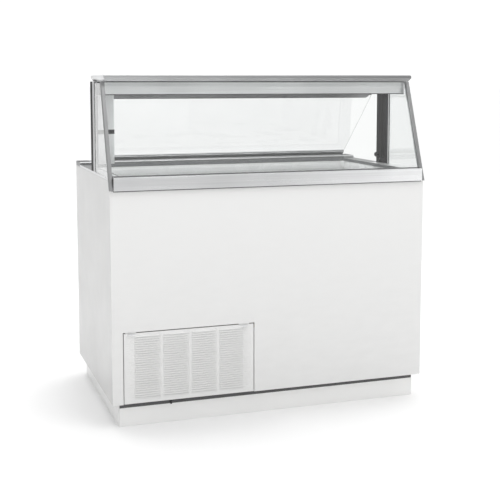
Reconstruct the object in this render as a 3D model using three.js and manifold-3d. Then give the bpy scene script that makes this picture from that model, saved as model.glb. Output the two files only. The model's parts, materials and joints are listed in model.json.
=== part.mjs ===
// Ice cream dipping cabinet: an insulated open-top freezer tank on a recessed base, with a slanted
// glass sneeze guard over its front half, a clear hinged lid behind it, and a condensing unit behind
// a louvred panel at the lower left. Millimetres, +Z up, front towards -Y, origin under the centre.

import * as THREE from "three";
import { mergeVertices } from "three/addons/utils/BufferGeometryUtils.js";
import Module from "manifold-3d";

const wasm = await Module();
wasm.setup();

// ---- driving dimensions -------------------------------------------------------------------

const bodyWidth = 1200;
const bodyDepth = 720;
const baseHeight = 84; // underside of the body above the floor
const sideTop = 872; // top edge of the white side panels
const rimTop = 880; // top of the side rims
const bandBottom = 838; // front band of the rim
const bandTop = 884;
const bandProud = 12; // how far the front band stands out of the front panel
const endProud = 1; // how far the guard's end frames stand out of the side panels
const slabBottom = 1211; // canopy top
const slabTop = 1235;
const sheet = 1.5; // sheet metal thickness
const gap = 0.4; // clearance between neighbouring pieces
const pane = 5; // glass and lid thickness

const halfWidth = bodyWidth / 2;
const front = -(bodyDepth - bandProud) / 2; // front face of the body
const back = front + bodyDepth;

// recessed kick plates
const kickTop = 76;
const kickSide = halfWidth - 25;
const kickFront = front + 21;
const kickBack = back - 21;
const returnDepth = 10; // folded edge of the outer panels

// rim and thermal break
const rimInner = 554;
const rearRimDepth = 92;
const rearRimTop = 890;
const breakerBottom = 868;

// tank opening and walls
const tankHalf = 548;
const tankFront = front + 58;
const tankBack = front + 622;
const deepFloor = 170;
const shallowFloor = 430;
const stepX = -12; // the deep well lies to the right of this
const linerWall = 1.5;

// drain from the deep well to its mouth under the front edge, and the empty mains gland
const plugX = 90;
const plugY = tankFront + 90;
const plugRadius = 14;
const drainX = -387;
const drainMouthY = front + 15.5;
const drainRadius = 4;
const drainMouthZ = 67;
const inletX = -545;
const inletZ = 140;
const inletRadius = 9;

// machine compartment and its louvred panel
const roomRight = -62;
const roomTop = 372;
const panelLeft = -558.5;
const panelRight = -80.5;
const panelTop = 337.5;
const panelMargin = 2.5; // gap at the louvred panel's sides
const openingTop = 343.5;
const louvreColumns = 4;
const louvreRows = 27;
const louvreWidth = 93;
const louvreColumnPitch = 103;
const louvrePitch = 8.27;
const louvreHeight = 3.2;
const louvreLowest = 108;
const latchPlaces = [-533, -117];
const latchZ = 333.5;
const latchShaft = 2.5;

// sneeze guard
const canopyHalf = halfWidth - 3;
const stileWidth = 12;
const stileDepth = 22;
const stileFoot = front - bandProud + 3; // front edge of the slanted stiles at the band's underside
const stileHead = front + 130; // front edge of the stiles under the canopy top
const postFront = front + 279;
const postBack = front + 357;
const knobX = halfWidth - 18;
const knobZ = rimTop + 32;
const knobShaft = 3;
const headerBottom = 1163;
const headerFront = front + 149;
const hingeY = front + 368;
const hingeZ = 1158;

// rear lid
const lidLeft = -524; // the lid's left edge stops beside the wire channel
const lidRight = 560;
const lidFall = THREE.MathUtils.degToRad(42.2); // slope of the closed lid below horizontal
const lidLength = 387;
const hingePlaces = [-400, 400];
const hingeHalf = 38; // half the width of a hinge leaf
const pinHalf = 46;
const pinRadius = 5;

// ---- solids -------------------------------------------------------------------------------

function toSolid(geometry) {
  const plain = geometry.clone();
  plain.deleteAttribute("normal");
  plain.deleteAttribute("uv");
  const merged = mergeVertices(plain, 1e-4);
  return new wasm.Manifold(new wasm.Mesh({
    numProp: 3,
    vertProperties: new Float32Array(merged.attributes.position.array),
    triVerts: new Uint32Array(merged.index.array),
  }));
}

function toGeometry(solid) {
  const mesh = solid.getMesh();
  const geometry = new THREE.BufferGeometry();
  geometry.setAttribute("position", new THREE.BufferAttribute(mesh.vertProperties, 3));
  geometry.setIndex(new THREE.BufferAttribute(mesh.triVerts, 1));
  geometry.computeVertexNormals();
  return geometry;
}

function join(...geometries) {
  return toGeometry(geometries.map(toSolid).reduce((whole, piece) => whole.add(piece)));
}

function cut(geometry, ...tools) {
  return toGeometry(tools.map(toSolid).reduce((whole, tool) => whole.subtract(tool), toSolid(geometry)));
}

// a block given by its low and high corner
function block(x0, x1, y0, y1, z0, z1) {
  const geometry = new THREE.BoxGeometry(x1 - x0, y1 - y0, z1 - z0);
  return geometry.translate((x0 + x1) / 2, (y0 + y1) / 2, (z0 + z1) / 2);
}

// a round bar between two heights of one axis, centred on the two other coordinates
function rod(axis, radius, from, to, centre, sides = 16) {
  const geometry = new THREE.CylinderGeometry(radius, radius, to - from, sides);
  const middle = (from + to) / 2;
  if (axis === "x") return geometry.rotateZ(-Math.PI / 2).translate(middle, centre[0], centre[1]);
  if (axis === "y") return geometry.translate(centre[0], middle, centre[1]);
  return geometry.rotateX(Math.PI / 2).translate(centre[0], centre[1], middle);
}

// an outline of [y, z] points drawn out along X
function alongX(points, x0, x1) {
  const shape = new THREE.Shape(points.map(([y, z]) => new THREE.Vector2(y, z)));
  const geometry = new THREE.ExtrudeGeometry(shape, { depth: x1 - x0, bevelEnabled: false });
  const turn = new THREE.Matrix4().set(0, 0, 1, x0, 1, 0, 0, 0, 0, 1, 0, 0, 0, 0, 0, 1);
  return geometry.applyMatrix4(turn);
}

// a route through given points with each inner corner rounded to a radius
class TubeRoute extends THREE.Curve {
  constructor(corners, bend) {
    super();
    const points = corners.map((corner) => new THREE.Vector3(...corner));
    this.points = [points[0]];
    for (let i = 1; i < points.length - 1; i++) {
      const before = points[i - 1].clone().sub(points[i]).setLength(bend).add(points[i]);
      const after = points[i + 1].clone().sub(points[i]).setLength(bend).add(points[i]);
      const arc = new THREE.QuadraticBezierCurve3(before, points[i], after);
      this.points.push(...arc.getPoints(3));
    }
    this.points.push(points[points.length - 1]);
  }

  getPoint(t) {
    const place = Math.min(Math.max(t, 0), 1) * (this.points.length - 1);
    const index = Math.min(Math.floor(place), this.points.length - 2);
    return this.points[index].clone().lerp(this.points[index + 1], place - index);
  }

  getPointAt(t) {
    return this.getPoint(t);
  }

  getTangentAt(t) {
    return this.getTangent(t);
  }
}

function tube(corners, radius, bend, sides = 8) {
  const route = new TubeRoute(corners, bend);
  const section = new THREE.Shape();
  for (let i = 0; i < sides; i++) {
    const angle = (i / sides) * 2 * Math.PI;
    section[i ? "lineTo" : "moveTo"](radius * Math.cos(angle), radius * Math.sin(angle));
  }
  section.closePath();
  const steps = route.points.length - 1;
  return new THREE.ExtrudeGeometry(section, { steps, extrudePath: route, bevelEnabled: false });
}

// ---- materials ----------------------------------------------------------------------------

function finish(color, roughness, metalness, opacity = 1) {
  return new THREE.MeshStandardMaterial({
    color, roughness, metalness, opacity, transparent: opacity < 1,
  });
}

const whitePaint = finish(0xf2f2ef, 0.35, 0.1);
const greyPaint = finish(0xe2e2df, 0.45, 0.1);
const blackPaint = finish(0x1c1c1d, 0.5, 0.2);
const tankWhite = finish(0xf4f5f5, 0.3, 0.1);
const stainless = finish(0xc9cacb, 0.32, 0.95);
const aluminium = finish(0xaeb0b2, 0.35, 0.95);
const galvanised = finish(0x9fa3a6, 0.5, 0.8);
const copper = finish(0xb46a3c, 0.35, 0.95);
const glass = finish(0xe6ecec, 0.05, 0, 0.3);
const acrylic = finish(0xeef2f2, 0.08, 0, 0.3);
const lampGlass = finish(0xf8f8f4, 0.2, 0);
const greyPlastic = finish(0x8d9092, 0.5, 0);
const blackPlastic = finish(0x202122, 0.45, 0);
const foam = finish(0xe6d9a8, 0.9, 0);
const rubber = finish(0x151515, 0.85, 0);

function group(...meshes) {
  const assembly = new THREE.Group();
  assembly.add(...meshes.flat());
  return assembly;
}

function mesh(name, geometry, material) {
  const piece = new THREE.Mesh(geometry, material);
  piece.name = name;
  return piece;
}

// runs a maker for the left (-1) and right (+1) side
function bothSides(make) {
  return [make("left", -1), make("right", 1)];
}

// a block whose X range is mirrored by the side's sign
function sideBlock(sign, inner, outer, y0, y1, z0, z1) {
  return block(Math.min(sign * inner, sign * outer), Math.max(sign * inner, sign * outer), y0, y1, z0, z1);
}

// ---- base ---------------------------------------------------------------------------------

// a kick plate is a folded channel: an upright face with a lip at its top and its foot
const kickLip = 22;

function kickOutline(face, inward) {
  const points = [
    [face, 0], [face + inward * kickLip, 0], [face + inward * kickLip, sheet],
    [face + inward * sheet, sheet], [face + inward * sheet, kickTop - sheet],
    [face + inward * kickLip, kickTop - sheet], [face + inward * kickLip, kickTop], [face, kickTop],
  ];
  return inward > 0 ? points : points.reverse();
}

function kickPlates() {
  const half = kickSide - sheet - gap;
  const ends = [["front", kickFront, 1], ["back", kickBack, -1]].map(([end, face, inward]) => (
    mesh(`kick_${end}`, alongX(kickOutline(face, inward), -half, half), greyPaint)
  ));
  const sides = bothSides((side, sign) => {
    const run = kickBack - kickFront - 2 * (kickLip + gap);
    const lips = alongX(kickOutline(0, 1), -run / 2, run / 2);
    lips.rotateZ(sign < 0 ? -Math.PI / 2 : Math.PI / 2);
    lips.translate(sign * kickSide, (kickFront + kickBack) / 2, 0);
    const face = sideBlock(sign, kickSide - sheet, kickSide, kickFront, kickBack, 0, kickTop);
    return mesh(`kick_${side}`, join(lips, face), greyPaint);
  });
  return [...ends, ...sides];
}

function skids() {
  return bothSides((side, sign) => {
    const centre = sign * 430;
    const run = [kickFront + 30, kickBack - 30];
    const web = block(centre - 20, centre + 20, run[0], run[1], 0, baseHeight - gap);
    const hollow = block(centre - 16, centre + 16, run[0] - 5, run[1] + 5, 4, baseHeight - 5);
    return mesh(`base_skid_${side}`, cut(web, hollow), blackPaint);
  });
}

function floorPan() {
  const inset = 17;
  const drainHole = rod("z", drainRadius + 1, baseHeight - 5, baseHeight + 10, [drainX, drainMouthY], 12);
  const x = halfWidth - inset;
  const tray = block(-x, x, front + inset, back - inset, baseHeight, baseHeight + sheet);
  return mesh("floor_pan", cut(tray, drainHole), galvanised);
}

// ---- outer panels -------------------------------------------------------------------------

function frontPanel() {
  const face = block(-halfWidth, halfWidth, front, front + sheet, baseHeight, bandBottom - gap);
  const foot = block(
    -halfWidth + 2 * sheet, halfWidth - 2 * sheet, front, front + returnDepth, baseHeight, baseHeight + sheet,
  );
  const jambs = block(
    panelLeft - sheet - panelMargin, panelRight + sheet + panelMargin,
    front, front + returnDepth, baseHeight, openingTop - 22.5,
  );
  const opening = block(
    panelLeft - panelMargin, panelRight + panelMargin,
    front - 5, front + returnDepth + 5, baseHeight - 5, openingTop,
  );
  return mesh("front_panel", cut(join(face, foot, jambs), opening), whitePaint);
}

function sidePanels() {
  return bothSides((side, sign) => {
    const y0 = front + sheet + gap;
    const y1 = back - sheet - gap;
    const face = sideBlock(sign, halfWidth - sheet, halfWidth, y0, y1, baseHeight, sideTop);
    const foot = sideBlock(
      sign, halfWidth - returnDepth, halfWidth, front + returnDepth + gap, y1, baseHeight, baseHeight + sheet,
    );
    const nose = sideBlock(sign, halfWidth - 5, halfWidth + 5, front, front + 14, bandBottom - gap, rimTop);
    return mesh(`side_panel_${side}`, cut(join(face, foot), stileTool(sign, gap), nose), whitePaint);
  });
}

function backPanel() {
  const face = block(-halfWidth, halfWidth, back - sheet, back, baseHeight, sideTop);
  const vents = [];
  for (const x of [-430, -200]) {
    for (let row = 0; row < 8; row++) {
      const z = 150 + row * 22;
      vents.push(block(x - 90, x + 90, back - 5, back + 5, z, z + 6));
    }
  }
  const inletHole = rod("y", inletRadius + gap, back - 5, back + 5, [inletX, inletZ]);
  return mesh("back_panel", cut(face, ...vents, inletHole), whitePaint);
}

// the mains lead's empty gland: a flanged bush with a through hole
function inletGland() {
  const bush = rod("y", inletRadius, back - 14, back - sheet - 0.1, [inletX, inletZ]);
  const neck = rod("y", inletRadius, back - 3, back + 0.5, [inletX, inletZ]);
  const flange = rod("y", inletRadius + 5, back - 6, back - sheet - gap, [inletX, inletZ]);
  const bore = rod("y", 4.5, back - 20, back + 5, [inletX, inletZ]);
  return mesh("inlet_gland", cut(join(bush, neck, flange), bore), blackPlastic);
}

// ---- tank ---------------------------------------------------------------------------------

// the stepped space of the tank, grown by a margin on its sides and floor
function tankSpace(margin, top) {
  const y0 = tankFront - margin;
  const y1 = tankBack + margin;
  const shallow = block(-tankHalf - margin, tankHalf + margin, y0, y1, shallowFloor - margin, top);
  const deep = block(stepX - margin, tankHalf + margin, y0, y1, deepFloor - margin, shallowFloor + 10);
  return join(shallow, deep);
}

function tankLiner() {
  const shell = cut(tankSpace(linerWall, breakerBottom - gap), tankSpace(0, breakerBottom + 10));
  const hole = rod("z", plugRadius + gap, deepFloor - 10, deepFloor + 10, [plugX, plugY]);
  return mesh("tank_liner", cut(shell, hole), tankWhite);
}

function drainRoute() {
  return [
    [plugX, plugY, deepFloor - 24], [plugX, plugY, 124], [plugX, drainMouthY, 120],
    [drainX, drainMouthY, 112], [drainX, drainMouthY, drainMouthZ],
  ];
}

function drainPieces() {
  const cup = rod("z", plugRadius + 6, deepFloor - 24, deepFloor - linerWall - gap, [plugX, plugY]);
  const well = rod("z", plugRadius - 1, deepFloor - 18, deepFloor + 5, [plugX, plugY]);
  const bore = tube(longer(drainRoute()), drainRadius - 1.2, 16);
  const pipe = cut(join(cup, tube(drainRoute(), drainRadius, 16)), well, bore);
  const plug = join(
    rod("z", plugRadius - 2, deepFloor - 12, deepFloor + 4, [plugX, plugY]),
    rod("z", plugRadius + 4, deepFloor + gap, deepFloor + 6, [plugX, plugY]),
    rod("z", 5, deepFloor + 4, deepFloor + 22, [plugX, plugY], 12),
  );
  return [
    mesh("drain_tube", pipe, blackPlastic),
    mesh("drain_plug", plug, rubber),
  ];
}

// a route with its first and last points pushed out by 5 mm in height
function longer(route) {
  const stretched = route.map((point) => [...point]);
  stretched[0][2] += 5;
  stretched[stretched.length - 1][2] -= 5;
  return stretched;
}

// foamed-in insulation between the panels and the tank, notched over the machine compartment
function insulation() {
  const skin = sheet + gap;
  const outer = block(
    -halfWidth + skin, halfWidth - skin, front + skin, back - skin, baseHeight + 4, bandBottom - 4,
  );
  const room = block(-halfWidth, roomRight, front, back, baseHeight, roomTop);
  const drainWay = tube(longer(drainRoute()), drainRadius + 1, 16);
  const cupWay = rod("z", plugRadius + 8, deepFloor - 26, deepFloor + 5, [plugX, plugY]);
  const body = cut(outer, room, tankSpace(18, bandTop + 20), drainWay, cupWay);
  const frontReturn = block(-halfWidth, halfWidth, front, front + returnDepth + 1, baseHeight, 90);
  return mesh("foam_insulation", cut(body, frontReturn), foam);
}

// refrigerant tubing wound round the outside of the liner
function evaporator() {
  const reach = 12;
  const x = tankHalf + reach;
  const y0 = tankFront - reach;
  const y1 = tankBack + reach;
  const corners = [];
  const turns = 6;
  for (let turn = 0; turn < turns; turn++) {
    const z = 470 + turn * 62;
    corners.push([-x, y0, z], [x, y0, z + 5], [x, y1, z + 10], [-x, y1, z + 15]);
  }
  return mesh("evaporator_tubing", tube(corners, 4.8, 14), copper);
}

// plastic thermal break round the mouth of the tank
function breakerFrame() {
  const lip = 5;
  const outer = block(
    -tankHalf - lip, tankHalf + lip, tankFront - lip, tankBack + lip, breakerBottom, rimTop - gap,
  );
  const inner = block(
    -tankHalf + 1, tankHalf - 1, tankFront + 1, tankBack - 1, breakerBottom - 5, rimTop + 5,
  );
  return mesh("breaker_frame", cut(outer, inner), greyPlastic);
}

// ---- rim ----------------------------------------------------------------------------------

// a folded rail: face, top and two returns, with a slanted channel for the foot of the glass
function frontRim() {
  const skin = 2;
  const x = stileInner - gap;
  const y0 = front - bandProud;
  const y1 = tankFront - 6;
  const channel = slantOutline(glassSetback - 3, glassSetback + pane + 3, glassFoot - 4, bandTop - 1);
  const rail = join(
    block(-x, x, y0, y0 + skin, bandBottom, bandTop - skin / 2),
    block(-x, x, y0 + skin / 2, y1, bandTop - skin, bandTop),
    block(-x, x, y0, front + 20, bandBottom, bandBottom + skin),
    block(-x, x, y1 - skin, y1, rimTop - 12, bandTop),
    alongX(channel, -x, x),
  );
  return mesh("rim_front", cut(rail, glassTool(0.5)), stainless);
}

function sideRims() {
  return bothSides((side, sign) => {
    const y0 = tankFront - 6 + gap;
    const y1 = back - rearRimDepth - gap;
    const cap = sideBlock(sign, rimInner, halfWidth, y0, y1, sideTop + gap, rimTop);
    const leg = sideBlock(sign, rimInner, rimInner + 8, y0, y1, bandBottom, rimTop);
    const corner = sideBlock(sign, stileInner + gap, halfWidth, front + 20, y0 + 1, sideTop + gap, rimTop);
    const groove = endGlassTool(sign, 0.5);
    return mesh(`rim_${side}`, cut(join(cap, leg, corner), groove, stileTool(sign, gap)), stainless);
  });
}

function rearRim() {
  const y0 = back - rearRimDepth;
  const skin = 2;
  const outline = [
    [y0, sideTop + gap], [back, sideTop + gap], [back, rearRimTop - 3], [back - 3, rearRimTop],
    [y0 + 3, rearRimTop], [y0, rearRimTop - 3],
  ];
  const room = block(
    -halfWidth + skin, halfWidth - skin, y0 + skin, back - skin, sideTop - 5, rearRimTop - skin,
  );
  const cap = cut(alongX(outline, -halfWidth, halfWidth), room);
  const leg = block(-rimInner, rimInner, y0, y0 + skin, bandBottom, sideTop + 5);
  return mesh("rim_rear", join(cap, leg), stainless);
}

// ---- sneeze guard -------------------------------------------------------------------------

const stileSlope = (stileHead - stileFoot) / (slabBottom - bandBottom);
const stileFrontAt = (z) => stileFoot + (z - bandBottom) * stileSlope;
const glassSetback = 7;

// side outline of a slanted strip lying between two setbacks from the stiles' front edge
function slantOutline(near, far, z0, z1) {
  return [
    [stileFrontAt(z0) + near, z0], [stileFrontAt(z0) + far, z0],
    [stileFrontAt(z1) + far, z1], [stileFrontAt(z1) + near, z1],
  ];
}

const glassHalf = halfWidth - 5;
const glassFoot = bandTop - 8;
const glassHead = slabBottom - 3;

function glassTool(grow) {
  const outline = slantOutline(
    glassSetback - grow, glassSetback + pane + grow, glassFoot - grow, glassHead + grow,
  );
  return alongX(outline, -glassHalf - grow, glassHalf + grow);
}

const endGlassInner = halfWidth - 7;

// the end pane fills the space between stile and post
function endGlassTool(sign, grow) {
  const z0 = rimTop - 4 - grow;
  const z1 = slabBottom - 6 + grow;
  const into = stileDepth - 5 - grow;
  const outline = [
    [stileFrontAt(z0) + into, z0], [postFront + 6 + grow, z0],
    [postFront + 6 + grow, z1], [stileFrontAt(z1) + into, z1],
  ];
  const inner = endGlassInner - grow;
  const outer = endGlassInner + pane + grow;
  return sign > 0 ? alongX(outline, inner, outer) : alongX(outline, -outer, -inner);
}

const stileOuter = halfWidth + endProud;
const stileInner = stileOuter - stileWidth;

// the whole slanted bar of one side, grown by a margin
function stileTool(sign, grow) {
  const outline = slantOutline(-grow, stileDepth + grow, bandBottom - grow, slabBottom - gap + grow);
  const inner = stileInner - grow;
  const outer = stileOuter + grow;
  return sign > 0 ? alongX(outline, inner, outer) : alongX(outline, -outer, -inner);
}

function stiles() {
  return bothSides((side, sign) => {
    const bar = cut(stileTool(sign, 0), glassTool(0.5), endGlassTool(sign, 0.5));
    return mesh(`stile_${side}`, bar, stainless);
  });
}

function posts() {
  return bothSides((side, sign) => {
    const outer = halfWidth;
    const wall = 12;
    const z1 = slabBottom - gap;
    const z0 = rimTop + gap;
    const face = sideBlock(sign, outer - wall, outer, postFront, postBack, z0, z1);
    const hollow = sideBlock(
      sign, outer - wall - 1, outer - 3, postFront + 14, postBack - 3, z0 + 20, z1 - 20,
    );
    const lip = sideBlock(sign, outer - 24, outer, postBack - 3, postBack, z0, z1);
    const knobHole = rod("y", knobShaft + gap, postBack - 8, postBack + 5, [sign * knobX, knobZ], 12);
    const channel = join(cut(face, hollow), lip);
    return mesh(`post_${side}`, cut(channel, endGlassTool(sign, 0.5), knobHole), stainless);
  });
}

function postKnobs() {
  return bothSides((side, sign) => {
    const centre = [sign * knobX, knobZ];
    const shaft = rod("y", knobShaft, postBack - 6, postBack + 6, centre, 12);
    const grip = rod("y", 10, postBack + 3, postBack + 15, centre, 10);
    return mesh(`post_knob_${side}`, join(shaft, grip), blackPlastic);
  });
}

function endGlasses() {
  return bothSides((side, sign) => mesh(`end_glass_${side}`, endGlassTool(sign, 0), glass));
}

function frontGlass() {
  return mesh("front_glass", glassTool(0), glass);
}

function header() {
  const x = stileInner - gap;
  const z1 = slabBottom - gap;
  const face = block(-x, x, headerFront, headerFront + sheet, headerBottom, z1);
  const top = block(-x, x, headerFront, headerFront + 10, z1 - sheet, z1);
  return mesh("header_panel", join(face, top), stainless);
}

const rearHeaderBottom = 1161;

function rearHeader() {
  const x = halfWidth - 24 - gap;
  const z1 = slabBottom - gap;
  const face = block(-x, x, postBack - 3, postBack, rearHeaderBottom, z1);
  const top = block(-x, x, postBack - 14, postBack, z1 - sheet, z1);
  return mesh("rear_header", join(face, top), stainless);
}

// canopy top: a shallow tray whose skirt draws in towards its underside
function canopyTop() {
  const y0 = front + 101;
  const y1 = front + 361;
  const x = canopyHalf;
  const draw = 9;
  const waist = slabBottom + 12;
  const skirt = frustum([-x + draw, x - draw, y0 + draw, y1 - 2], [-x, x, y0, y1], slabBottom, waist);
  const upper = block(-x, x, y0, y1, waist, slabTop - 3);
  const crown = frustum([-x, x, y0, y1], [-x + 3, x - 3, y0 + 3, y1 - 3], slabTop - 3, slabTop);
  const wall = 14;
  const bay = (2 * (x - wall)) / 3;
  const rooms = [0, 1, 2].map((i) => {
    const left = -x + wall + i * bay;
    return block(left + 4, left + bay - 4, y0 + wall, y1 - wall, slabBottom - 5, slabTop - 3);
  });
  return mesh("canopy_top", cut(join(skirt, upper, crown), ...rooms), stainless);
}

// a block whose low and high faces differ, each given as [x0, x1, y0, y1]
function frustum(low, high, z0, z1) {
  const geometry = new THREE.BoxGeometry(2, 2, 2);
  const position = geometry.attributes.position;
  for (let i = 0; i < position.count; i++) {
    const isTop = position.getZ(i) > 0;
    const [x0, x1, y0, y1] = isTop ? high : low;
    const x = position.getX(i) > 0 ? x1 : x0;
    const y = position.getY(i) > 0 ? y1 : y0;
    position.setXYZ(i, x, y, isTop ? z1 : z0);
  }
  return geometry;
}

// ---- lamp ---------------------------------------------------------------------------------

const lampY = front + 200;
const lampZ = 1188;
const lampHalf = 520;
const chaseLeft = -halfWidth + 24 + gap;
const chaseRight = -519;
const chaseFront = postBack - 34;
const switchZ = 1010;
const rockerPivot = [postBack - 6, switchZ];
const rockerTilt = THREE.MathUtils.degToRad(8); // the switch rests in its off position

function lampPieces() {
  const holders = [-lampHalf + 18, lampHalf - 35].map((x) => block(
    x, x + 17, lampY - 16, lampY + 16, lampZ - 20, slabBottom - 1,
  ));
  const housing = join(
    block(-lampHalf, lampHalf, lampY - 40, lampY + 40, slabBottom - 2, slabBottom - gap),
    block(-lampHalf, lampHalf, lampY - 40, lampY - 38, slabBottom - 34, slabBottom - 1),
    block(-lampHalf, lampHalf, lampY + 38, lampY + 40, slabBottom - 20, slabBottom - 1),
    ...holders,
  );
  const bulb = rod("x", 13, -lampHalf + 36, lampHalf - 36, [lampY, lampZ - 4], 16);
  return [mesh("lamp_housing", housing, galvanised), mesh("lamp_tube", bulb, lampGlass)];
}

// upright channel beside the left post that carries the lamp lead, with the lamp switch on its rear face
function wireChase() {
  const z0 = rimTop + 25;
  const z1 = rearHeaderBottom - gap;
  const body = block(chaseLeft, chaseRight, chaseFront, postBack - gap, z0, z1);
  const bore = block(chaseLeft + 2, chaseRight - 2, chaseFront + 2, postBack - 2, z0 - 5, z1 + 5);
  const [x, y, half, tall] = switchPlace();
  const window = block(x - half, x + half, y - 5, y + 5, switchZ - tall, switchZ + tall);
  return mesh("wire_chase", cut(body, bore, window), stainless);
}

function switchPlace() {
  return [(chaseLeft + chaseRight) / 2, postBack - gap, 8, 13];
}

function lampSwitch() {
  const [x, y, half, tall] = switchPlace();
  const outline = [];
  for (let i = 0; i <= 8; i++) {
    const angle = Math.PI * (i / 8);
    outline.push([y + 2.5 * Math.sin(angle) - 1.4, switchZ - (tall - 1.2) * Math.cos(angle)]);
  }
  outline.push([y - 7, switchZ + 4], [y - 7, switchZ - 4]);
  const rocker = alongX(outline, x - half + 0.6, x + half - 0.6);
  rocker.translate(0, -rockerPivot[0], -rockerPivot[1]).rotateX(-rockerTilt);
  rocker.translate(0, ...rockerPivot);
  return mesh("lamp_switch", rocker, blackPlastic);
}

// ---- rear lid -----------------------------------------------------------------------------

// the lid is drawn hanging along +Y from its hinge line and then tilted down to its closed slope
function tilted(geometry) {
  return geometry.rotateX(-lidFall).translate(0, hingeY, hingeZ);
}

// pane, top rail and handle bar; the rail is open round the hinges and rides on the ends of their pins
function rearLid() {
  const under = 2;
  const railHalf = 545;
  const railRun = 18;
  const railBevel = 10;
  const railThickness = 10.4;
  const railShape = new THREE.Shape([
    new THREE.Vector2(-railHalf, -6), new THREE.Vector2(railHalf, -6),
    new THREE.Vector2(railHalf, railRun - railBevel), new THREE.Vector2(railHalf - railBevel, railRun),
    new THREE.Vector2(-railHalf + railBevel, railRun), new THREE.Vector2(-railHalf, railRun - railBevel),
  ]);
  const railPlate = new THREE.ExtrudeGeometry(railShape, { depth: railThickness, bevelEnabled: false });
  const paneTool = (grow) => block(
    lidLeft - grow, lidRight + grow, 5 - grow, lidLength, under - grow, under + pane + grow,
  );
  const hingeRooms = hingePlaces.map((x) => block(x - hingeHalf - 2, x + hingeHalf + 2, -20, 7, -20, 20));
  const pinRooms = hingePlaces.map((x) => (
    rod("x", pinRadius + gap, x - pinHalf - 1, x + pinHalf + 1, [0, 0])
  ));
  const rail = cut(railPlate.translate(0, 0, under - 4), paneTool(0.3), ...hingeRooms, ...pinRooms);
  const bar = join(
    block(lidLeft, lidRight, lidLength - 14, lidLength + 5, under - 4, under + pane + 5),
    block(lidLeft, lidRight, lidLength + 3, lidLength + 8, under - 4, under + pane + 14),
  );
  const edgeRoom = block(
    lidLeft - 5, lidRight + 5, 0, lidLength + gap, under - gap, under + pane + gap,
  );
  return [
    mesh("lid_pane", tilted(paneTool(0)), acrylic),
    mesh("lid_top_rail", tilted(rail), aluminium),
    mesh("lid_handle_bar", tilted(cut(bar, edgeRoom)), aluminium),
  ];
}

// two fixed hinges on the rear header; each is a leaf with a pin along the hinge line
function lidHinges() {
  return hingePlaces.map((x, index) => {
    const x0 = x - hingeHalf;
    const x1 = x + hingeHalf;
    const pin = rod("x", pinRadius, x - pinHalf, x + pinHalf, [hingeY, hingeZ], 16);
    const leaf = block(x0, x1, postBack + gap, postBack + 2, hingeZ - 2, hingeZ + 24);
    const arm = block(x0, x1, postBack + gap, hingeY, hingeZ - 2, hingeZ + 3);
    return mesh(`lid_hinge_${index + 1}`, join(pin, leaf, arm), stainless);
  });
}

// ---- louvred panel ------------------------------------------------------------------------

function louvredPanel() {
  const z0 = baseHeight + 1.5;
  const outer = block(panelLeft, panelRight, front, front + returnDepth, z0, panelTop);
  const hollow = block(
    panelLeft + sheet, panelRight - sheet, front + sheet, front + returnDepth + 5,
    z0 + sheet, panelTop - sheet,
  );
  const slots = [];
  const first = (panelLeft + panelRight) / 2 - 1.5 * louvreColumnPitch;
  for (let column = 0; column < louvreColumns; column++) {
    const x0 = first + column * louvreColumnPitch - louvreWidth / 2;
    for (let row = 0; row < louvreRows; row++) {
      const z = louvreLowest + row * louvrePitch;
      slots.push(block(x0, x0 + louvreWidth, front - 5, front + 5, z, z + louvreHeight));
    }
  }
  const latchHoles = latchPlaces.map((x) => (
    rod("y", latchShaft + gap, front - 5, front + 5, [x, latchZ], 12)
  ));
  return mesh("louvre_panel", cut(outer, hollow, ...slots, ...latchHoles), whitePaint);
}

// quarter-turn fasteners near the panel's top edge, with their wings level while they are shut
function latches() {
  return latchPlaces.map((x, index) => {
    const head = rod("y", 8, front - 3.5, front - gap, [x, latchZ], 20);
    const wing = block(x - 13, x + 13, front - 6, front - 3, latchZ - 4, latchZ + 4);
    const shaft = rod("y", latchShaft, front - 2, front + 1, [x, latchZ], 12);
    return mesh(`panel_latch_${index + 1}`, join(head, wing, shaft), stainless);
  });
}

// ---- condensing unit ----------------------------------------------------------------------

const unitLeft = -548;
const unitRight = -200;
const unitFront = front + 34;
const unitFloor = baseHeight + sheet + gap;
const deck = unitFloor + 8; // top of the unit's base plate
const coilFront = front + 42;
const coilBack = coilFront + 44;
const coilTop = 330;
const fanX = (unitLeft + unitRight) / 2;
const fanZ = (deck + coilTop) / 2;
const fanRadius = 98;
const shroudBack = coilBack + 36;
const fanY = coilBack + 22;
const compressorX = -330;
const compressorY = front + 440;
const compressorRadius = 82;

function unitBase() {
  const plate = block(unitLeft, unitRight + 30, unitFront, back - 150, deck - 3, deck);
  const feet = [unitLeft + 12, unitRight].map((x) => (
    block(x, x + 18, unitFront, back - 150, unitFloor, deck - 1)
  ));
  return mesh("unit_base", join(plate, ...feet), galvanised);
}

// finned block: a comb of plates along the tubes, drawn as one outline
function condenserCoil() {
  const fins = 29;
  const pitch = (unitRight - unitLeft) / fins;
  const shape = new THREE.Shape();
  shape.moveTo(unitLeft, coilBack);
  for (let fin = 0; fin < fins; fin++) {
    const x = unitLeft + fin * pitch;
    shape.lineTo(x, coilFront);
    shape.lineTo(x + pitch * 0.3, coilFront);
    shape.lineTo(x + pitch * 0.3, coilFront + 14);
    shape.lineTo(x + pitch, coilFront + 14);
  }
  shape.lineTo(unitRight, coilBack);
  shape.closePath();
  const comb = new THREE.ExtrudeGeometry(shape, { depth: coilTop - deck - 1, bevelEnabled: false });
  return mesh("condenser_coil", comb.translate(0, 0, deck + gap), aluminium);
}

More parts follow.
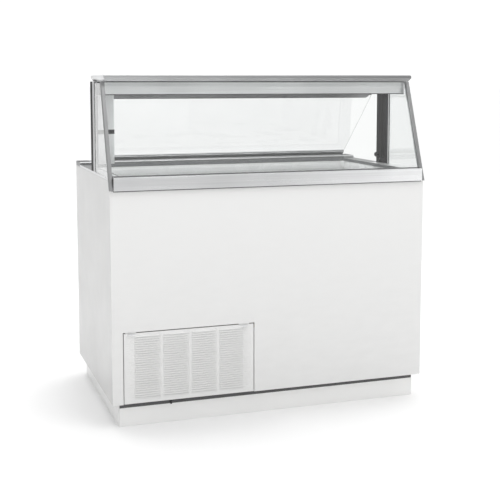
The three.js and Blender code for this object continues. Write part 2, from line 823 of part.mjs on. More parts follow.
function fanShroud() {
  const plate = block(unitLeft, unitRight, coilBack + gap, shroudBack, deck + gap, coilTop);
  const inside = block(unitLeft + 2, unitRight - 2, coilBack - 5, shroudBack - 2, deck + 2, coilTop - 2);
  const mouth = rod("y", fanRadius + 8, coilBack, shroudBack + 30, [fanX, fanZ], 32);
  const ring = rod("y", fanRadius + 10, shroudBack - 2, shroudBack + 10, [fanX, fanZ], 32);
  return mesh("fan_shroud", cut(join(cut(plate, inside), ring), mouth), galvanised);
}

function fanBlade() {
  const centre = [fanX, fanZ];
  const hub = rod("y", 20, fanY - 10, fanY + 10, centre, 20);
  const blades = [];
  const count = 5;
  for (let i = 0; i < count; i++) {
    const outline = new THREE.Shape();
    outline.moveTo(-14, 12);
    outline.lineTo(14, 12);
    outline.quadraticCurveTo(40, 60, 34, fanRadius - 8);
    outline.lineTo(-26, fanRadius - 4);
    outline.quadraticCurveTo(-22, 50, -14, 12);
    const blade = new THREE.ExtrudeGeometry(outline, { depth: 2, bevelEnabled: false, curveSegments: 4 });
    blade.translate(0, 0, -1).rotateY(0.42).rotateX(Math.PI / 2);
    blade.rotateY((i / count) * 2 * Math.PI).translate(fanX, fanY, fanZ);
    blades.push(blade);
  }
  const bore = rod("y", 4, fanY - 20, fanY + 20, centre, 12);
  return mesh("fan_blade", cut(join(hub, ...blades), bore), blackPlastic);
}

function fanMotor() {
  const centre = [fanX, fanZ];
  const body = rod("y", 34, shroudBack + 22, shroudBack + 78, centre, 24);
  const shaft = rod("y", 3.9, fanY - 14, shroudBack + 24, centre, 12);
  const arms = [0, 1, 2].map((i) => {
    const arm = block(-7, 7, shroudBack + 12, shroudBack + 26, 25, fanRadius + 26);
    return arm.rotateY((i / 3) * 2 * Math.PI).translate(fanX, 0, fanZ);
  });
  const feet = [0, 1, 2].map((i) => {
    const foot = block(-7, 7, shroudBack + gap, shroudBack + 14, fanRadius + 14, fanRadius + 26);
    return foot.rotateY((i / 3) * 2 * Math.PI).translate(fanX, 0, fanZ);
  });
  return mesh("fan_motor", join(body, shaft, ...arms, ...feet), blackPaint);
}

function compressor() {
  const r = compressorRadius;
  const profile = [
    [0, 0], [r * 0.7, 0], [r * 0.93, 14], [r, 40], [r, 92], [r + 4, 94], [r + 4, 99], [r, 101],
    [r, 140], [r * 0.92, 166], [r * 0.7, 182], [r * 0.35, 190], [0, 192],
  ].map(([x, y]) => new THREE.Vector2(x, y));
  const shell = new THREE.LatheGeometry(profile, 24).rotateX(Math.PI / 2);
  shell.translate(compressorX, compressorY, deck + 14);
  const foot = block(
    compressorX - 95, compressorX + 95, compressorY - 62, compressorY + 62, deck + 12, deck + 18,
  );
  const legs = [[-80, -48], [80, -48], [-80, 48], [80, 48]].map(([dx, dy]) => rod(
    "z", 9, deck + gap, deck + 14, [compressorX + dx, compressorY + dy], 12,
  ));
  return mesh("compressor", join(shell, foot, ...legs), blackPaint);
}

function terminalCover() {
  const x = compressorX - compressorRadius - 5;
  const cover = block(x - 34, x + 6, compressorY - 34, compressorY + 34, deck + 60, deck + 130);
  const room = rod("z", compressorRadius + 5, deck, deck + 200, [compressorX, compressorY], 24);
  return mesh("terminal_cover", cut(cover, room), blackPlastic);
}

function filterDrier() {
  const shell = rod("y", 16, front + 180, front + 300, [unitRight + 4, 150], 16);
  const ends = rod("y", 6, front + 168, front + 312, [unitRight + 4, 150], 12);
  return mesh("filter_drier", join(shell, ends), copper);
}

function refrigerantTubes() {
  const crown = deck + 14 + 192;
  const discharge = tube([
    [compressorX + 40, compressorY, crown - 3], [compressorX + 40, compressorY, crown + 18],
    [unitRight + 26, compressorY - 60, crown + 18], [unitRight + 26, coilBack + 60, crown + 18],
    [unitRight + 26, coilBack - 14, 300], [unitRight + 0.6, coilBack - 14, 300],
  ], 4, 14);
  const liquid = tube([
    [unitRight + 4, front + 312.5, 150], [unitRight + 4, front + 340, 150],
    [unitRight + 40, front + 340, 220], [unitRight + 40, front + 340, roomTop - 1],
  ], 3, 14);
  const suction = tube([
    [compressorX + 10, compressorY + 66, crown - 10], [compressorX + 10, compressorY + 66, crown + 30],
    [compressorX + 10, back - 60, roomTop - 20], [compressorX + 10, back - 60, roomTop - 1],
  ], 6, 14);
  return [
    mesh("discharge_tube", discharge, copper), mesh("liquid_line", liquid, copper),
    mesh("suction_line", suction, copper),
  ];
}

// ---- controls -----------------------------------------------------------------------------

const boxLeft = -165;
const boxRight = -80;
const boxFront = front + 34;
const knobCentre = [(boxLeft + boxRight) / 2, 250];
const stemRadius = 3;

function junctionBox() {
  const body = block(boxLeft, boxRight, boxFront, boxFront + 70, baseHeight + 3, 300);
  const stemHole = rod("y", stemRadius + gap, boxFront - 5, boxFront + 12, knobCentre, 12);
  const outlet = rod("y", 6, boxFront + 60, boxFront + 80, [knobCentre[0], 130], 12);
  return mesh("junction_box", cut(body, stemHole, outlet), galvanised);
}

function thermostatKnob() {
  const shaft = rod("y", stemRadius, boxFront - 4, boxFront + 10, knobCentre, 12);
  const grip = rod("y", 17, boxFront - 16, boxFront - 2, knobCentre, 24);
  const [x, z] = knobCentre;
  const pointer = block(x - 2.5, x + 2.5, boxFront - 18, boxFront - 12, z, z + 17);
  return mesh("thermostat_knob", join(shaft, grip, pointer), blackPlastic);
}

// ---- assembly -----------------------------------------------------------------------------

const base = group(kickPlates(), skids(), floorPan());
const shell = group(frontPanel(), sidePanels(), backPanel(), inletGland(), insulation());
const tank = group(tankLiner(), drainPieces(), evaporator(), breakerFrame());
const rim = group(frontRim(), sideRims(), rearRim());
const guard = group(
  stiles(), posts(), postKnobs(), endGlasses(), frontGlass(), header(), rearHeader(), canopyTop(),
);
const lamp = group(lampPieces(), wireChase(), lampSwitch());
const lid = group(rearLid(), lidHinges());
const access = group(louvredPanel(), latches());
const unit = group(
  unitBase(), condenserCoil(), fanShroud(), fanBlade(), fanMotor(), compressor(), terminalCover(),
  filterDrier(), refrigerantTubes(),
);
const controls = group(junctionBox(), thermostatKnob());

export default group(base, shell, tank, rim, guard, lamp, lid, access, unit, controls);
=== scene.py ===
"""Ice cream dipping cabinet: its looks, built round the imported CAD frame.

In metres, +Z up, with the cabinet's front towards -Y. A size inside mm() is in millimetres."""

import json
import math

import bmesh
import bpy
from mathutils import Matrix, Vector


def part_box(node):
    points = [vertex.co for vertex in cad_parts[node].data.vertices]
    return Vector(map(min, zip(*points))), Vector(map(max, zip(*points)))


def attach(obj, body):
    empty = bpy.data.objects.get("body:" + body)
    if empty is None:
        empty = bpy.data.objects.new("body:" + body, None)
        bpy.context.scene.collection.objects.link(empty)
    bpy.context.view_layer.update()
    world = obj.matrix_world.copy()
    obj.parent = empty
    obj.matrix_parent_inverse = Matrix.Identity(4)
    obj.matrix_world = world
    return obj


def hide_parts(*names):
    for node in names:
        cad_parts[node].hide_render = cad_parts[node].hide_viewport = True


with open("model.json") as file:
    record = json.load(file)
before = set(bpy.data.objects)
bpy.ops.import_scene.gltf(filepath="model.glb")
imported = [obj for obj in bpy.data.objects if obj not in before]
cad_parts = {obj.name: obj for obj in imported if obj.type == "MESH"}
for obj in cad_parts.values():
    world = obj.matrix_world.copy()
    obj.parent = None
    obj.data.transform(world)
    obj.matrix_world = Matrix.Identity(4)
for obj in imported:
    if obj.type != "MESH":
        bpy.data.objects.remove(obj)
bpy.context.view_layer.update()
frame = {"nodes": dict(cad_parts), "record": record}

RECORD = frame["record"]
SLOT_OF = {part["node"]: part["material_slot"] for part in RECORD["subparts"]}
BODY_OF = {node: body for body, nodes in RECORD["behaviour"]["bodies"].items() for node in nodes}
SIDES = (("left", -1), ("right", 1))
SHARP = math.radians(32)  # faces that meet at more than this keep a crisp edge
FLAT = math.radians(0.4)  # and at less than this they are one flat face
STEEP = 0.7  # a face looks along an axis when its normal reaches this share of it
MERGE = 1e-6  # corners closer than this are one corner


def mm(value):
    return value * 0.001


# ---- camera and light ------------------------------------------------------------------------

def add_object(name, data):
    thing = bpy.data.objects.new(name, data)
    bpy.context.scene.collection.objects.link(thing)
    return thing


EYE = (-1.2266, -3.6713, 1.2053)
LOOKS_DOWN = 0.102  # radians below level
LOOKS_RIGHT = 0.3288  # radians from straight ahead
SENSOR_WIDTH = 36  # millimetres, as is the lens
LENS = 71.045
SHIFT = -0.132  # of the sensor's width
FAR_CLIP = 1000


def make_camera():
    data = bpy.data.cameras.new("camera")
    data.sensor_width = SENSOR_WIDTH
    data.lens = LENS
    data.shift_y = SHIFT
    data.clip_end = FAR_CLIP
    camera = add_object("camera", data)
    camera.location = EYE
    camera.rotation_euler = (math.pi / 2 - LOOKS_DOWN, 0, -LOOKS_RIGHT)
    bpy.context.scene.camera = camera


def make_light(name, place, target, size, power):
    data = bpy.data.lights.new(name, "AREA")
    data.size = size
    data.energy = power
    light = add_object(name, data)
    light.location = place
    light.rotation_euler = (Vector(target) - Vector(place)).to_track_quat("-Z", "Y").to_euler()


# The room's light along one axis: the view directions where it starts and stops to change, and how
# bright it is at either.
REARWARD = (-0.5, 0.6, 0.5, 1.08)
LEFTWARD = (-1.0, 0.0, 0.22, 1.0)
UPWARD = (0.05, 0.8, 0.0, 0.55)


def make_world():
    """A pale room: bright behind the cabinet and overhead, dimmer in front of it and on its left."""
    world = bpy.data.worlds.new("studio")
    bpy.context.scene.world = world
    world.use_nodes = True
    tree = world.node_tree
    tree.nodes.clear()
    output = tree.nodes.new("ShaderNodeOutputWorld")
    background = tree.nodes.new("ShaderNodeBackground")
    background.inputs["Color"].default_value = (1, 1, 1, 1)
    axes = tree.nodes.new("ShaderNodeSeparateXYZ")
    tree.links.new(tree.nodes.new("ShaderNodeTexCoord").outputs["Generated"], axes.inputs[0])
    rearward = smooth_ramp(tree, axes.outputs["Y"], REARWARD)
    leftward = smooth_ramp(tree, axes.outputs["X"], LEFTWARD)
    upward = smooth_ramp(tree, axes.outputs["Z"], UPWARD)
    level = combined(tree, "MULTIPLY", rearward, leftward)
    total = combined(tree, "ADD", level, upward)
    tree.links.new(total, background.inputs["Strength"])
    tree.links.new(background.outputs[0], output.inputs["Surface"])


def smooth_ramp(tree, value, limits):
    made = tree.nodes.new("ShaderNodeMapRange")
    made.interpolation_type = "SMOOTHSTEP"
    for name, limit in zip(("From Min", "From Max", "To Min", "To Max"), limits):
        made.inputs[name].default_value = limit
    tree.links.new(value, made.inputs["Value"])
    return made.outputs[0]


def combined(tree, operation, first, second):
    made = tree.nodes.new("ShaderNodeMath")
    made.operation = operation
    tree.links.new(first, made.inputs[0])
    tree.links.new(second, made.inputs[1])
    return made.outputs[0]


# ---- materials -------------------------------------------------------------------------------

HALF_WIDTH = 0.6  # of the cabinet, for tones that change along it
SHADOW_TINT = (0.98, 0.985, 0.983, 1)  # of the light that a clear pane lets through


class Finish:
    """A node material in the making: noise in the part's own coordinates drives its surface."""

    def __init__(self, name):
        self.material = bpy.data.materials.new(name)
        self.material.use_nodes = True
        self.tree = self.material.node_tree
        self.tree.nodes.clear()
        self.output = self.tree.nodes.new("ShaderNodeOutputMaterial")
        self.shader = self.tree.nodes.new("ShaderNodeBsdfPrincipled")
        self.tree.links.new(self.shader.outputs[0], self.output.inputs["Surface"])
        self.place = self.tree.nodes.new("ShaderNodeTexCoord").outputs["Object"]

    def node(self, kind, inputs, **settings):
        made = self.tree.nodes.new(kind)
        for name, value in settings.items():
            setattr(made, name, value)
        for key, value in inputs.items():
            if isinstance(value, bpy.types.NodeSocket):
                self.tree.links.new(value, made.inputs[key])
            else:
                made.inputs[key].default_value = value
        return made

    def noise(self, scale, stretch=(1, 1, 1), detail=3.0):
        """Smooth noise from 0 to 1: scale features per metre, times stretch along each axis."""
        where = self.node("ShaderNodeVectorMath", {0: self.place, 1: stretch}, operation="MULTIPLY")
        made = self.node("ShaderNodeTexNoise", {
            "Vector": where.outputs[0], "Scale": scale, "Detail": detail,
        })
        return self.spread(made.outputs[0], 0.3, 0.7, 0.0, 1.0)

    def cells(self, scale):
        """Cells of random grey, scale of them per metre."""
        made = self.node("ShaderNodeTexVoronoi", {"Vector": self.place, "Scale": scale})
        grey = self.node("ShaderNodeRGBToBW", {0: made.outputs["Color"]})
        return grey.outputs[0]

    def spread(self, value, low, high, to_low, to_high):
        """The value moved from the range low to high into the range to_low to to_high."""
        names = {"Value": value, "From Min": low, "From Max": high, "To Min": to_low, "To Max": to_high}
        return self.node("ShaderNodeMapRange", names).outputs[0]

    def height(self, low, high):
        """0 below one height of the part and 1 above another."""
        axes = self.node("ShaderNodeSeparateXYZ", {0: self.place})
        return self.spread(axes.outputs["Z"], low, high, 0.0, 1.0)

    def painted_sheen(self, tone, ends):
        """A painted sheen: the tone times a factor that changes from the left end over the middle to
        the right end.
        """
        at_left, at_middle, at_right = ends
        x = self.node("ShaderNodeSeparateXYZ", {0: self.place}).outputs["X"]
        left = self.spread(x, -HALF_WIDTH, 0.0, at_left, at_middle)
        right = self.spread(x, 0.0, HALF_WIDTH, 0.0, at_right - at_middle)
        factor = self.plus(left, right)
        scaled = self.node("ShaderNodeVectorMath", {0: tone, "Scale": factor}, operation="SCALE")
        return scaled.outputs[0]

    def times(self, a, b):
        return self.node("ShaderNodeMath", {0: a, 1: b}, operation="MULTIPLY").outputs[0]

    def plus(self, a, b):
        return self.node("ShaderNodeMath", {0: a, 1: b}, operation="ADD").outputs[0]

    def blend(self, amount, first, second):
        """The first colour where the amount is 0, the second where it is 1."""
        made = self.node("ShaderNodeMix", {
            0: amount, 6: (*first, 1), 7: (*second, 1),
        }, data_type="RGBA")
        return made.outputs[2]

    def bump(self, value, distance, strength=1.0):
        made = self.node("ShaderNodeBump", {
            "Height": value, "Distance": distance, "Strength": strength,
        })
        self.tree.links.new(made.outputs[0], self.shader.inputs["Normal"])

    def set(self, **inputs):
        """Sets or links the shader's inputs; an underscore stands for a space in a name."""
        for key, value in inputs.items():
            socket = self.shader.inputs[key.replace("_", " ")]
            if isinstance(value, bpy.types.NodeSocket):
                self.tree.links.new(value, socket)
            else:
                socket.default_value = value


def shade(colour, factor):
    return tuple(channel * factor for channel in colour)


def painted(name, colour, roughness, shade_top=0.0):
    """Stoved enamel: faint orange peel, uneven gloss, and painted shade that darkens it towards the
    floor, up to the given height.
    """
    made = Finish(name)
    if shade_top:
        # Painted shade: darker towards the floor, up to the given height, in uneven patches.
        veil = made.spread(made.noise(14, (1, 1, 2.5)), 0, 1, 0.75, 1)
        low_shade = made.times(made.spread(made.height(0.0, shade_top), 0, 1, 1, 0), veil)
        made.set(Base_Color=made.blend(low_shade, colour, shade(colour, 0.88)))
    else:
        made.set(Base_Color=made.blend(made.noise(5), shade(colour, 0.975), colour))
    made.set(Roughness=made.spread(made.noise(9), 0, 1, roughness - 0.05, roughness + 0.06))
    made.bump(made.noise(260, detail=1.0), 0.0002, 0.35)
    made.set(IOR=1.5, Coat_Weight=0.15, Coat_Roughness=0.2)
    return made.material


def brushed(name, colour, roughness, along, edge=0.6, ends=None):
    """Sheet metal brushed along X, Y or Z: fine scratches, broader streaks and faint smears.

    edge is how much of the colour is left at a glancing angle, and ends are the factors of a painted
    sheen: the brightness painted at the left end, the middle and the right end."""
    made = Finish(name)
    grain = tuple(5.0 if axis == along else 900.0 for axis in "XYZ")
    streak = tuple(1.6 if axis == along else 130.0 for axis in "XYZ")
    fine = made.noise(1, grain, 2.0)
    broad = made.noise(1, streak, 2.0)
    mottle = made.plus(made.plus(fine, broad), made.noise(4))
    mottle = made.spread(mottle, 0, 3, 0, 1)
    tone = made.blend(mottle, shade(colour, 0.86), shade(colour, 1.08))
    # A painted sheen along the sheet, where factors for its ends are given.
    if ends:
        tone = made.painted_sheen(tone, ends)
    made.set(Base_Color=tone)
    made.set(Roughness=made.spread(mottle, 0, 1, roughness + 0.1, roughness - 0.08))
    made.bump(fine, 0.00003, 0.6)
    made.set(Metallic=1.0, Specular_Tint=(edge, edge, edge, 1))
    return made.material


def spangled(name, colour):
    """Hot-dipped zinc: flat crystals of slightly different grey."""
    made = Finish(name)
    flakes = made.cells(75)
    made.set(Base_Color=made.blend(flakes, shade(colour, 0.72), shade(colour, 1.1)))
    made.set(Roughness=made.spread(flakes, 0, 1, 0.55, 0.36), Metallic=0.9)
    made.bump(made.noise(500), 0.00005, 0.4)
    return made.material


def tarnished(name, colour):
    """Drawn copper with darker, duller patches."""
    made = Finish(name)
    patches = made.noise(45)
    made.set(Base_Color=made.blend(patches, shade(colour, 0.6), shade(colour, 1.08)))
    made.set(Roughness=made.spread(patches, 0, 1, 0.5, 0.26), Metallic=1.0)
    made.bump(made.noise(800), 0.00003, 0.5)
    return made.material


def moulded(name, colour, roughness, grain=1400, depth=0.00005):
    """Moulded plastic or rubber with a fine grain."""
    made = Finish(name)
    made.set(Base_Color=made.blend(made.noise(30), shade(colour, 0.85), shade(colour, 1.12)))
    made.set(Roughness=made.spread(made.noise(60), 0, 1, roughness - 0.06, roughness + 0.08))
    made.bump(made.noise(grain), depth, 0.7)
    return made.material


def foamed(name, colour):
    """Rigid foam with fine cells on its surface."""
    made = Finish(name)
    cells = made.cells(400)
    made.set(Base_Color=made.blend(cells, shade(colour, 0.8), colour), Roughness=0.9)
    made.bump(cells, 0.0006, 0.8)
    return made.material


def clear(name, tint, roughness):
    """A clear pane: glass for the eye, and nearly open to the lamps, so what is behind it is lit."""
    made = Finish(name)
    made.set(Base_Color=made.blend(made.noise(6), shade(tint, 0.985), tint))
    made.set(Roughness=roughness, Transmission_Weight=1.0, IOR=1.5)
    path = made.node("ShaderNodeLightPath", {})
    open_way = made.node("ShaderNodeBsdfTransparent", {"Color": SHADOW_TINT})
    mix = made.node("ShaderNodeMixShader", {
        0: path.outputs["Is Shadow Ray"], 1: made.shader.outputs[0], 2: open_way.outputs[0],
    })
    made.tree.links.new(mix.outputs[0], made.output.inputs["Surface"])
    return made.material


def fluorescent(name):
    """The milky phosphor coat of a lamp tube, a little uneven."""
    made = Finish(name)
    made.set(Base_Color=made.blend(made.noise(18), (0.86, 0.87, 0.86), (0.95, 0.95, 0.93)))
    made.set(Roughness=0.22, Coat_Weight=0.6, Coat_Roughness=0.05)
    made.bump(made.noise(300), 0.00004, 0.3)
    return made.material


def floor_paper():
    made = Finish("floor_paper")
    made.set(Base_Color=made.blend(made.noise(2), (0.93, 0.93, 0.93), (0.95, 0.95, 0.95)))
    made.set(Roughness=0.9, Specular_IOR_Level=0.1)
    made.bump(made.noise(200), 0.0002, 0.2)
    return made.material


# Painted shade: the white front darkens towards the floor up to 0.85 m.
WHITE = painted("white_enamel", (0.88, 0.88, 0.873), 0.34, 0.85)
# Painted shade: a darker copy of the white enamel for the sides and back, which also darkens towards
# the floor up to 0.7 m.
SHADED_SIDE_WHITE = painted("side_enamel_painted_shade", (0.67, 0.67, 0.664), 0.34, 0.7)
PALE_GREY = painted("grey_enamel", (0.95, 0.95, 0.942), 0.45)
BLACK_PAINT = painted("black_enamel", (0.035, 0.035, 0.037), 0.42)
TANK_WHITE = painted("tank_enamel", (0.94, 0.945, 0.945), 0.28)
STEEL_X = brushed("steel_brushed_x", (0.66, 0.665, 0.67), 0.3, "X")
# Painted light: a paler copy of the stainless steel.
STEEL_PAINTED_LIGHT_X = brushed("steel_painted_light_x", (0.92, 0.925, 0.93), 0.3, "X", 0.8)
# Painted light: a brighter copy of the steel, brushed along Y, for the rim tops and the slab's ends.
STEEL_PAINTED_LIGHT_Y = brushed("steel_painted_light_y", (0.9, 0.905, 0.91), 0.42, "Y", 0.9)
STEEL_Z = brushed("steel_brushed_z", (0.8, 0.805, 0.81), 0.34, "Z")
# Painted light: a paler copy of the Z-brushed steel.
STEEL_PAINTED_LIGHT_Z = brushed("steel_painted_light_z", (0.88, 0.885, 0.89), 0.34, "Z", 0.75)
# Painted shade: a darker copy of the stainless steel.
STEEL_MID_SHADE_X = brushed("steel_mid_shade_x", (0.5, 0.505, 0.51), 0.36, "X")
# Painted shade: a much darker copy of the stainless steel.
STEEL_DARK_SHADE_X = brushed("steel_dark_shade_x", (0.3, 0.303, 0.307), 0.34, "X")
STEEL_SHADE_X = brushed("steel_shade_x", (0.3, 0.303, 0.307), 0.34, "X", 0.3)
# Painted sheen: the band brightens towards its right end.
STEEL_BAND_SHEEN = brushed("steel_band_painted_sheen", (0.66, 0.665, 0.67), 0.3, "X", ends=(1.02, 0.96, 1.48))
# Painted shade for the slab's long edges and underside, with a painted reflection that fades from left
# to right.
STEEL_EDGE_SHADE_AND_SHEEN = brushed("steel_slab_edge_painted_shade", (0.48, 0.484, 0.488), 0.34, "X", ends=(1.15, 0.82, 0.62))
# Painted shade: a darker copy of the Z-brushed steel.
STEEL_DARK_SHADE_Z = brushed("steel_dark_shade_z", (0.34, 0.343, 0.347), 0.34, "Z")
# Painted shade: a grey copy of the Z-brushed steel.
STEEL_GREY_SHADE_Z = brushed("steel_grey_shade_z", (0.24, 0.242, 0.245), 0.36, "Z")
# Near-black trim for the strap and the posts' rear strips; on the posts' inner faces it is painted
# shade.
DARK_TRIM_AND_SHADE = brushed("dark_anodised_and_painted_shade", (0.045, 0.045, 0.047), 0.42, "Z")
ALUMINIUM = brushed("aluminium_drawn", (0.50, 0.505, 0.51), 0.34, "X")
# Painted shade: a darker copy of the aluminium, for parts under the canopy.
ALUMINIUM_SHADE = brushed("aluminium_painted_shade", (0.24, 0.242, 0.245), 0.36, "X")
GALVANISED = spangled("zinc", (0.52, 0.53, 0.54))
COPPER = tarnished("copper_tube", (0.72, 0.36, 0.2))
BLACK_PLASTIC = moulded("black_moulding", (0.028, 0.028, 0.03), 0.42)
GREY_PLASTIC = moulded("grey_moulding", (0.24, 0.245, 0.25), 0.5)
# Grey rubber for the glazing seals; also painted shade, as dark strips along the joints.
GREY_RUBBER_AND_SHADE = moulded("grey_rubber_and_painted_shade", (0.11, 0.11, 0.112), 0.7, 700, 0.0001)
RUBBER = moulded("black_rubber", (0.02, 0.02, 0.02), 0.75, 700, 0.0001)
FOAM = foamed("rigid_foam", (0.8, 0.7, 0.42))
GLASS = clear("pale_glass", (0.95, 0.962, 0.958), 0.0)
END_GLASS = clear("end_glass", (0.926, 0.935, 0.932), 0.0)
ACRYLIC = clear("clear_acrylic", (0.97, 0.972, 0.972), 0.02)
LAMP_WHITE = fluorescent("phosphor")

BY_SLOT = {
    "white_paint": WHITE, "grey_paint": PALE_GREY, "black_paint": BLACK_PAINT, "tank_white": TANK_WHITE,
    "stainless": STEEL_X, "aluminium": ALUMINIUM, "galvanised": GALVANISED, "copper": COPPER,
    "glass": GLASS, "acrylic": ACRYLIC, "lamp_glass": LAMP_WHITE, "grey_plastic": GREY_PLASTIC,
    "black_plastic": BLACK_PLASTIC, "foam": FOAM, "rubber": RUBBER,
}


# ---- mesh tools ------------------------------------------------------------------------------

def block(bm, low, high):
    """A box between two corners."""
    low, high = Vector(low), Vector(high)
    made = bmesh.ops.create_cube(bm, size=1)
    size = Matrix.Diagonal((*(high - low), 1))
    bmesh.ops.transform(bm, matrix=Matrix.Translation((low + high) / 2) @ size, verts=made["verts"])


def axis_frame(axis):
    """Two directions across an axis, and the axis itself."""
    along = Vector(axis).normalized()
    across = Vector((0, 0, 1)) if abs(along.z) < 0.9 else Vector((1, 0, 0))
    first = across.cross(along).normalized()
    return first, along.cross(first), along


def middle_of(node):
    low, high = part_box(node)
    return (low + high) / 2


def turned(bm, profile, centre, axis, segments=40, flutes=0, depth=0.0):
    """A turned solid: (radius, height) pairs round an axis, with flutes cut into its widest rows."""
    first, second, along = axis_frame(axis)
    widest = max(radius for radius, _ in profile)
    rows = []
    for radius, height in profile:
        middle = Vector(centre) + along * height
        if radius == 0:
            rows.append([bm.verts.new(middle)])
            continue
        ring = []
        for step in range(segments):
            angle = 2 * math.pi * step / segments
            wave = 0.5 - 0.5 * math.cos(flutes * angle)
            cut = depth * wave if radius > widest * 0.9 else 0
            out = first * math.cos(angle) + second * math.sin(angle)
            ring.append(bm.verts.new(middle + out * (radius - cut)))
        rows.append(ring)
    for lower, upper in zip(rows, rows[1:]):
        skin_rows(bm, lower, upper)
    for row in (rows[0], rows[-1]):
        if len(row) > 1:
            bm.faces.new(row)


def skin_rows(bm, lower, upper):
    """Faces between two rings, either of which may be a single point."""
    count = max(len(lower), len(upper))
    for step in range(count):
        after = (step + 1) % count
        corners = [lower[step % len(lower)], lower[after % len(lower)]]
        corners += [upper[after % len(upper)], upper[step % len(upper)]]
        unique = list(dict.fromkeys(corners))
        if len(unique) > 2:
            bm.faces.new(unique)


def circle(radius, sides=16):
    angles = [2 * math.pi * side / sides for side in range(sides)]
    return [(radius * math.cos(angle), radius * math.sin(angle)) for angle in angles]


def split(bm, place, normal):
    """Cuts the faces that a plane crosses, and leaves both halves in place."""
    on_plane = 1e-7
    geometry = list(bm.verts) + list(bm.edges) + list(bm.faces)
    bmesh.ops.bisect_plane(bm, geom=geometry, dist=on_plane, plane_co=place, plane_no=normal)


def prism(bm, outline, start, end):
    """An outline of (y, z) pairs drawn out along X."""
    rows = [[bm.verts.new((x, y, z)) for y, z in outline] for x in (start, end)]
    skin_rows(bm, rows[0], rows[1])
    bm.faces.new(rows[0])
    bm.faces.new(rows[1])


def piece(name, bm, material, body, replaces=(), bevel=0.0, segments=2):
    """Makes an object of the mesh, rounds its edges, and seats it on a body of the frame."""
    bmesh.ops.recalc_face_normals(bm, faces=bm.faces)
    mesh = bpy.data.meshes.new(name)
    bm.to_mesh(mesh)
    bm.free()
    for each in material if isinstance(material, (list, tuple)) else (material,):
        mesh.materials.append(each)
    mesh.shade_smooth()
    mesh.set_sharp_from_angle(angle=SHARP)
    thing = add_object(name, mesh)
    if bevel:
        rounding = thing.modifiers.new("edges", "BEVEL")
        rounding.width = bevel
        rounding.segments = segments
        rounding.limit_method = "ANGLE"
        rounding.angle_limit = SHARP
        rounding.harden_normals = True
    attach(thing, body)
    if replaces:
        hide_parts(*replaces)
    return thing


def node_mesh(node):
    """A clean copy of a CAD node's mesh: shared corners merged and flat faces made whole."""
    bm = bmesh.new()
    bm.from_mesh(frame["nodes"][node].data)
    bmesh.ops.remove_doubles(bm, verts=bm.verts, dist=MERGE)
    bmesh.ops.dissolve_limit(bm, angle_limit=FLAT, verts=bm.verts, edges=bm.edges)
    return bm


def dressed(node, bevel, material=None, segments=2):
    """The node's own shape with its edges rounded, in the node's place."""
    slot = SLOT_OF[node]
    material = material or BY_SLOT[slot]
    name = node + "_skin"
    piece(name, node_mesh(node), material, BODY_OF[node], [node], mm(bevel), segments)


def screw(bm, centre, axis, radius=mm(3.6)):
    """A pan-head screw whose cross recess is sunk into the crown."""
    crown, rim, recess = 0.55, 0.25, 0.4
    recess_half_width, recess_reach = 0.14, 0.6
    sides = 24
    first, second, along = axis_frame(axis)
    rows = []
    rings = (0.0, 0.12, 0.24, 0.36, 0.5, 0.64, 0.8, 0.93, 1.0, 1.0)
    for index, share in enumerate(rings):
        height = crown * math.sqrt(max(1 - share * share, 0)) + rim
        ring = []
        for step in range(1 if index == 0 else sides):
            angle = 2 * math.pi * step / sides
            u, v = share * math.cos(angle), share * math.sin(angle)
            in_cross = min(abs(u), abs(v)) < recess_half_width and share < recess_reach
            sunk = recess if in_cross else 0
            rise = (height - sunk) * radius if index < len(rings) - 1 else 0
            out = (first * u + second * v) * radius
            ring.append(bm.verts.new(Vector(centre) + out + along * rise))
        rows.append(ring)
    for lower, upper in zip(rows, rows[1:]):
        skin_rows(bm, lower, upper)
    bm.faces.new(rows[-1])


# ---- base and outer panels -------------------------------------------------------------------

def make_base():
    """The kick plates, and a dark strip of painted shade between the front one and the body."""
    for side in ("front", "left", "right"):
        dressed(f"kick_{side}", 0.6)
    # The rear kick plate takes the darker copy of the enamel: painted shade.
    dressed("kick_back", 0.6, SHADED_SIDE_WHITE)
    low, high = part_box("kick_front")
    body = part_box("front_panel")[0].z
    # A dark strip under the body's front edge: painted shade.
    bm = bmesh.new()
    block(
        bm, (low.x + mm(1), low.y - mm(1.5), high.z - mm(9)),
        (high.x - mm(1), low.y - mm(0.1), body - mm(0.5)),
    )
    piece("base_painted_shade_strip", bm, GREY_RUBBER_AND_SHADE, "cabinet", bevel=mm(0.4))


def make_panels():
    """The enamelled body. The front has a fold over the louvred panel, and a keeper for each latch."""
    front = node_mesh("front_panel")
    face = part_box("front_panel")[0].y
    panel_low, panel_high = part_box("louvre_panel")
    top = panel_high.z
    block(
        front, (panel_low.x - mm(2), face + mm(0.2), top + mm(3.2)),
        (panel_high.x + mm(2), face + mm(8), top + mm(7.5)),
    )
    for index in (1, 2):
        latch_low, latch_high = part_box(f"panel_latch_{index}")
        block(
            front, (latch_low.x - mm(6), face + mm(0.4), top + mm(0.7)),
            (latch_high.x + mm(6), face + mm(6), top + mm(7)),
        )
    piece("front_panel_skin", front, WHITE, "cabinet", ["front_panel"], mm(0.7))
    # The sides and the back take the darker copy of the enamel: painted shade.
    for side, _ in SIDES:
        dressed(f"side_panel_{side}", 0.7, SHADED_SIDE_WHITE)
    dressed("back_panel", 0.5, SHADED_SIDE_WHITE)
    make_back_fixings()


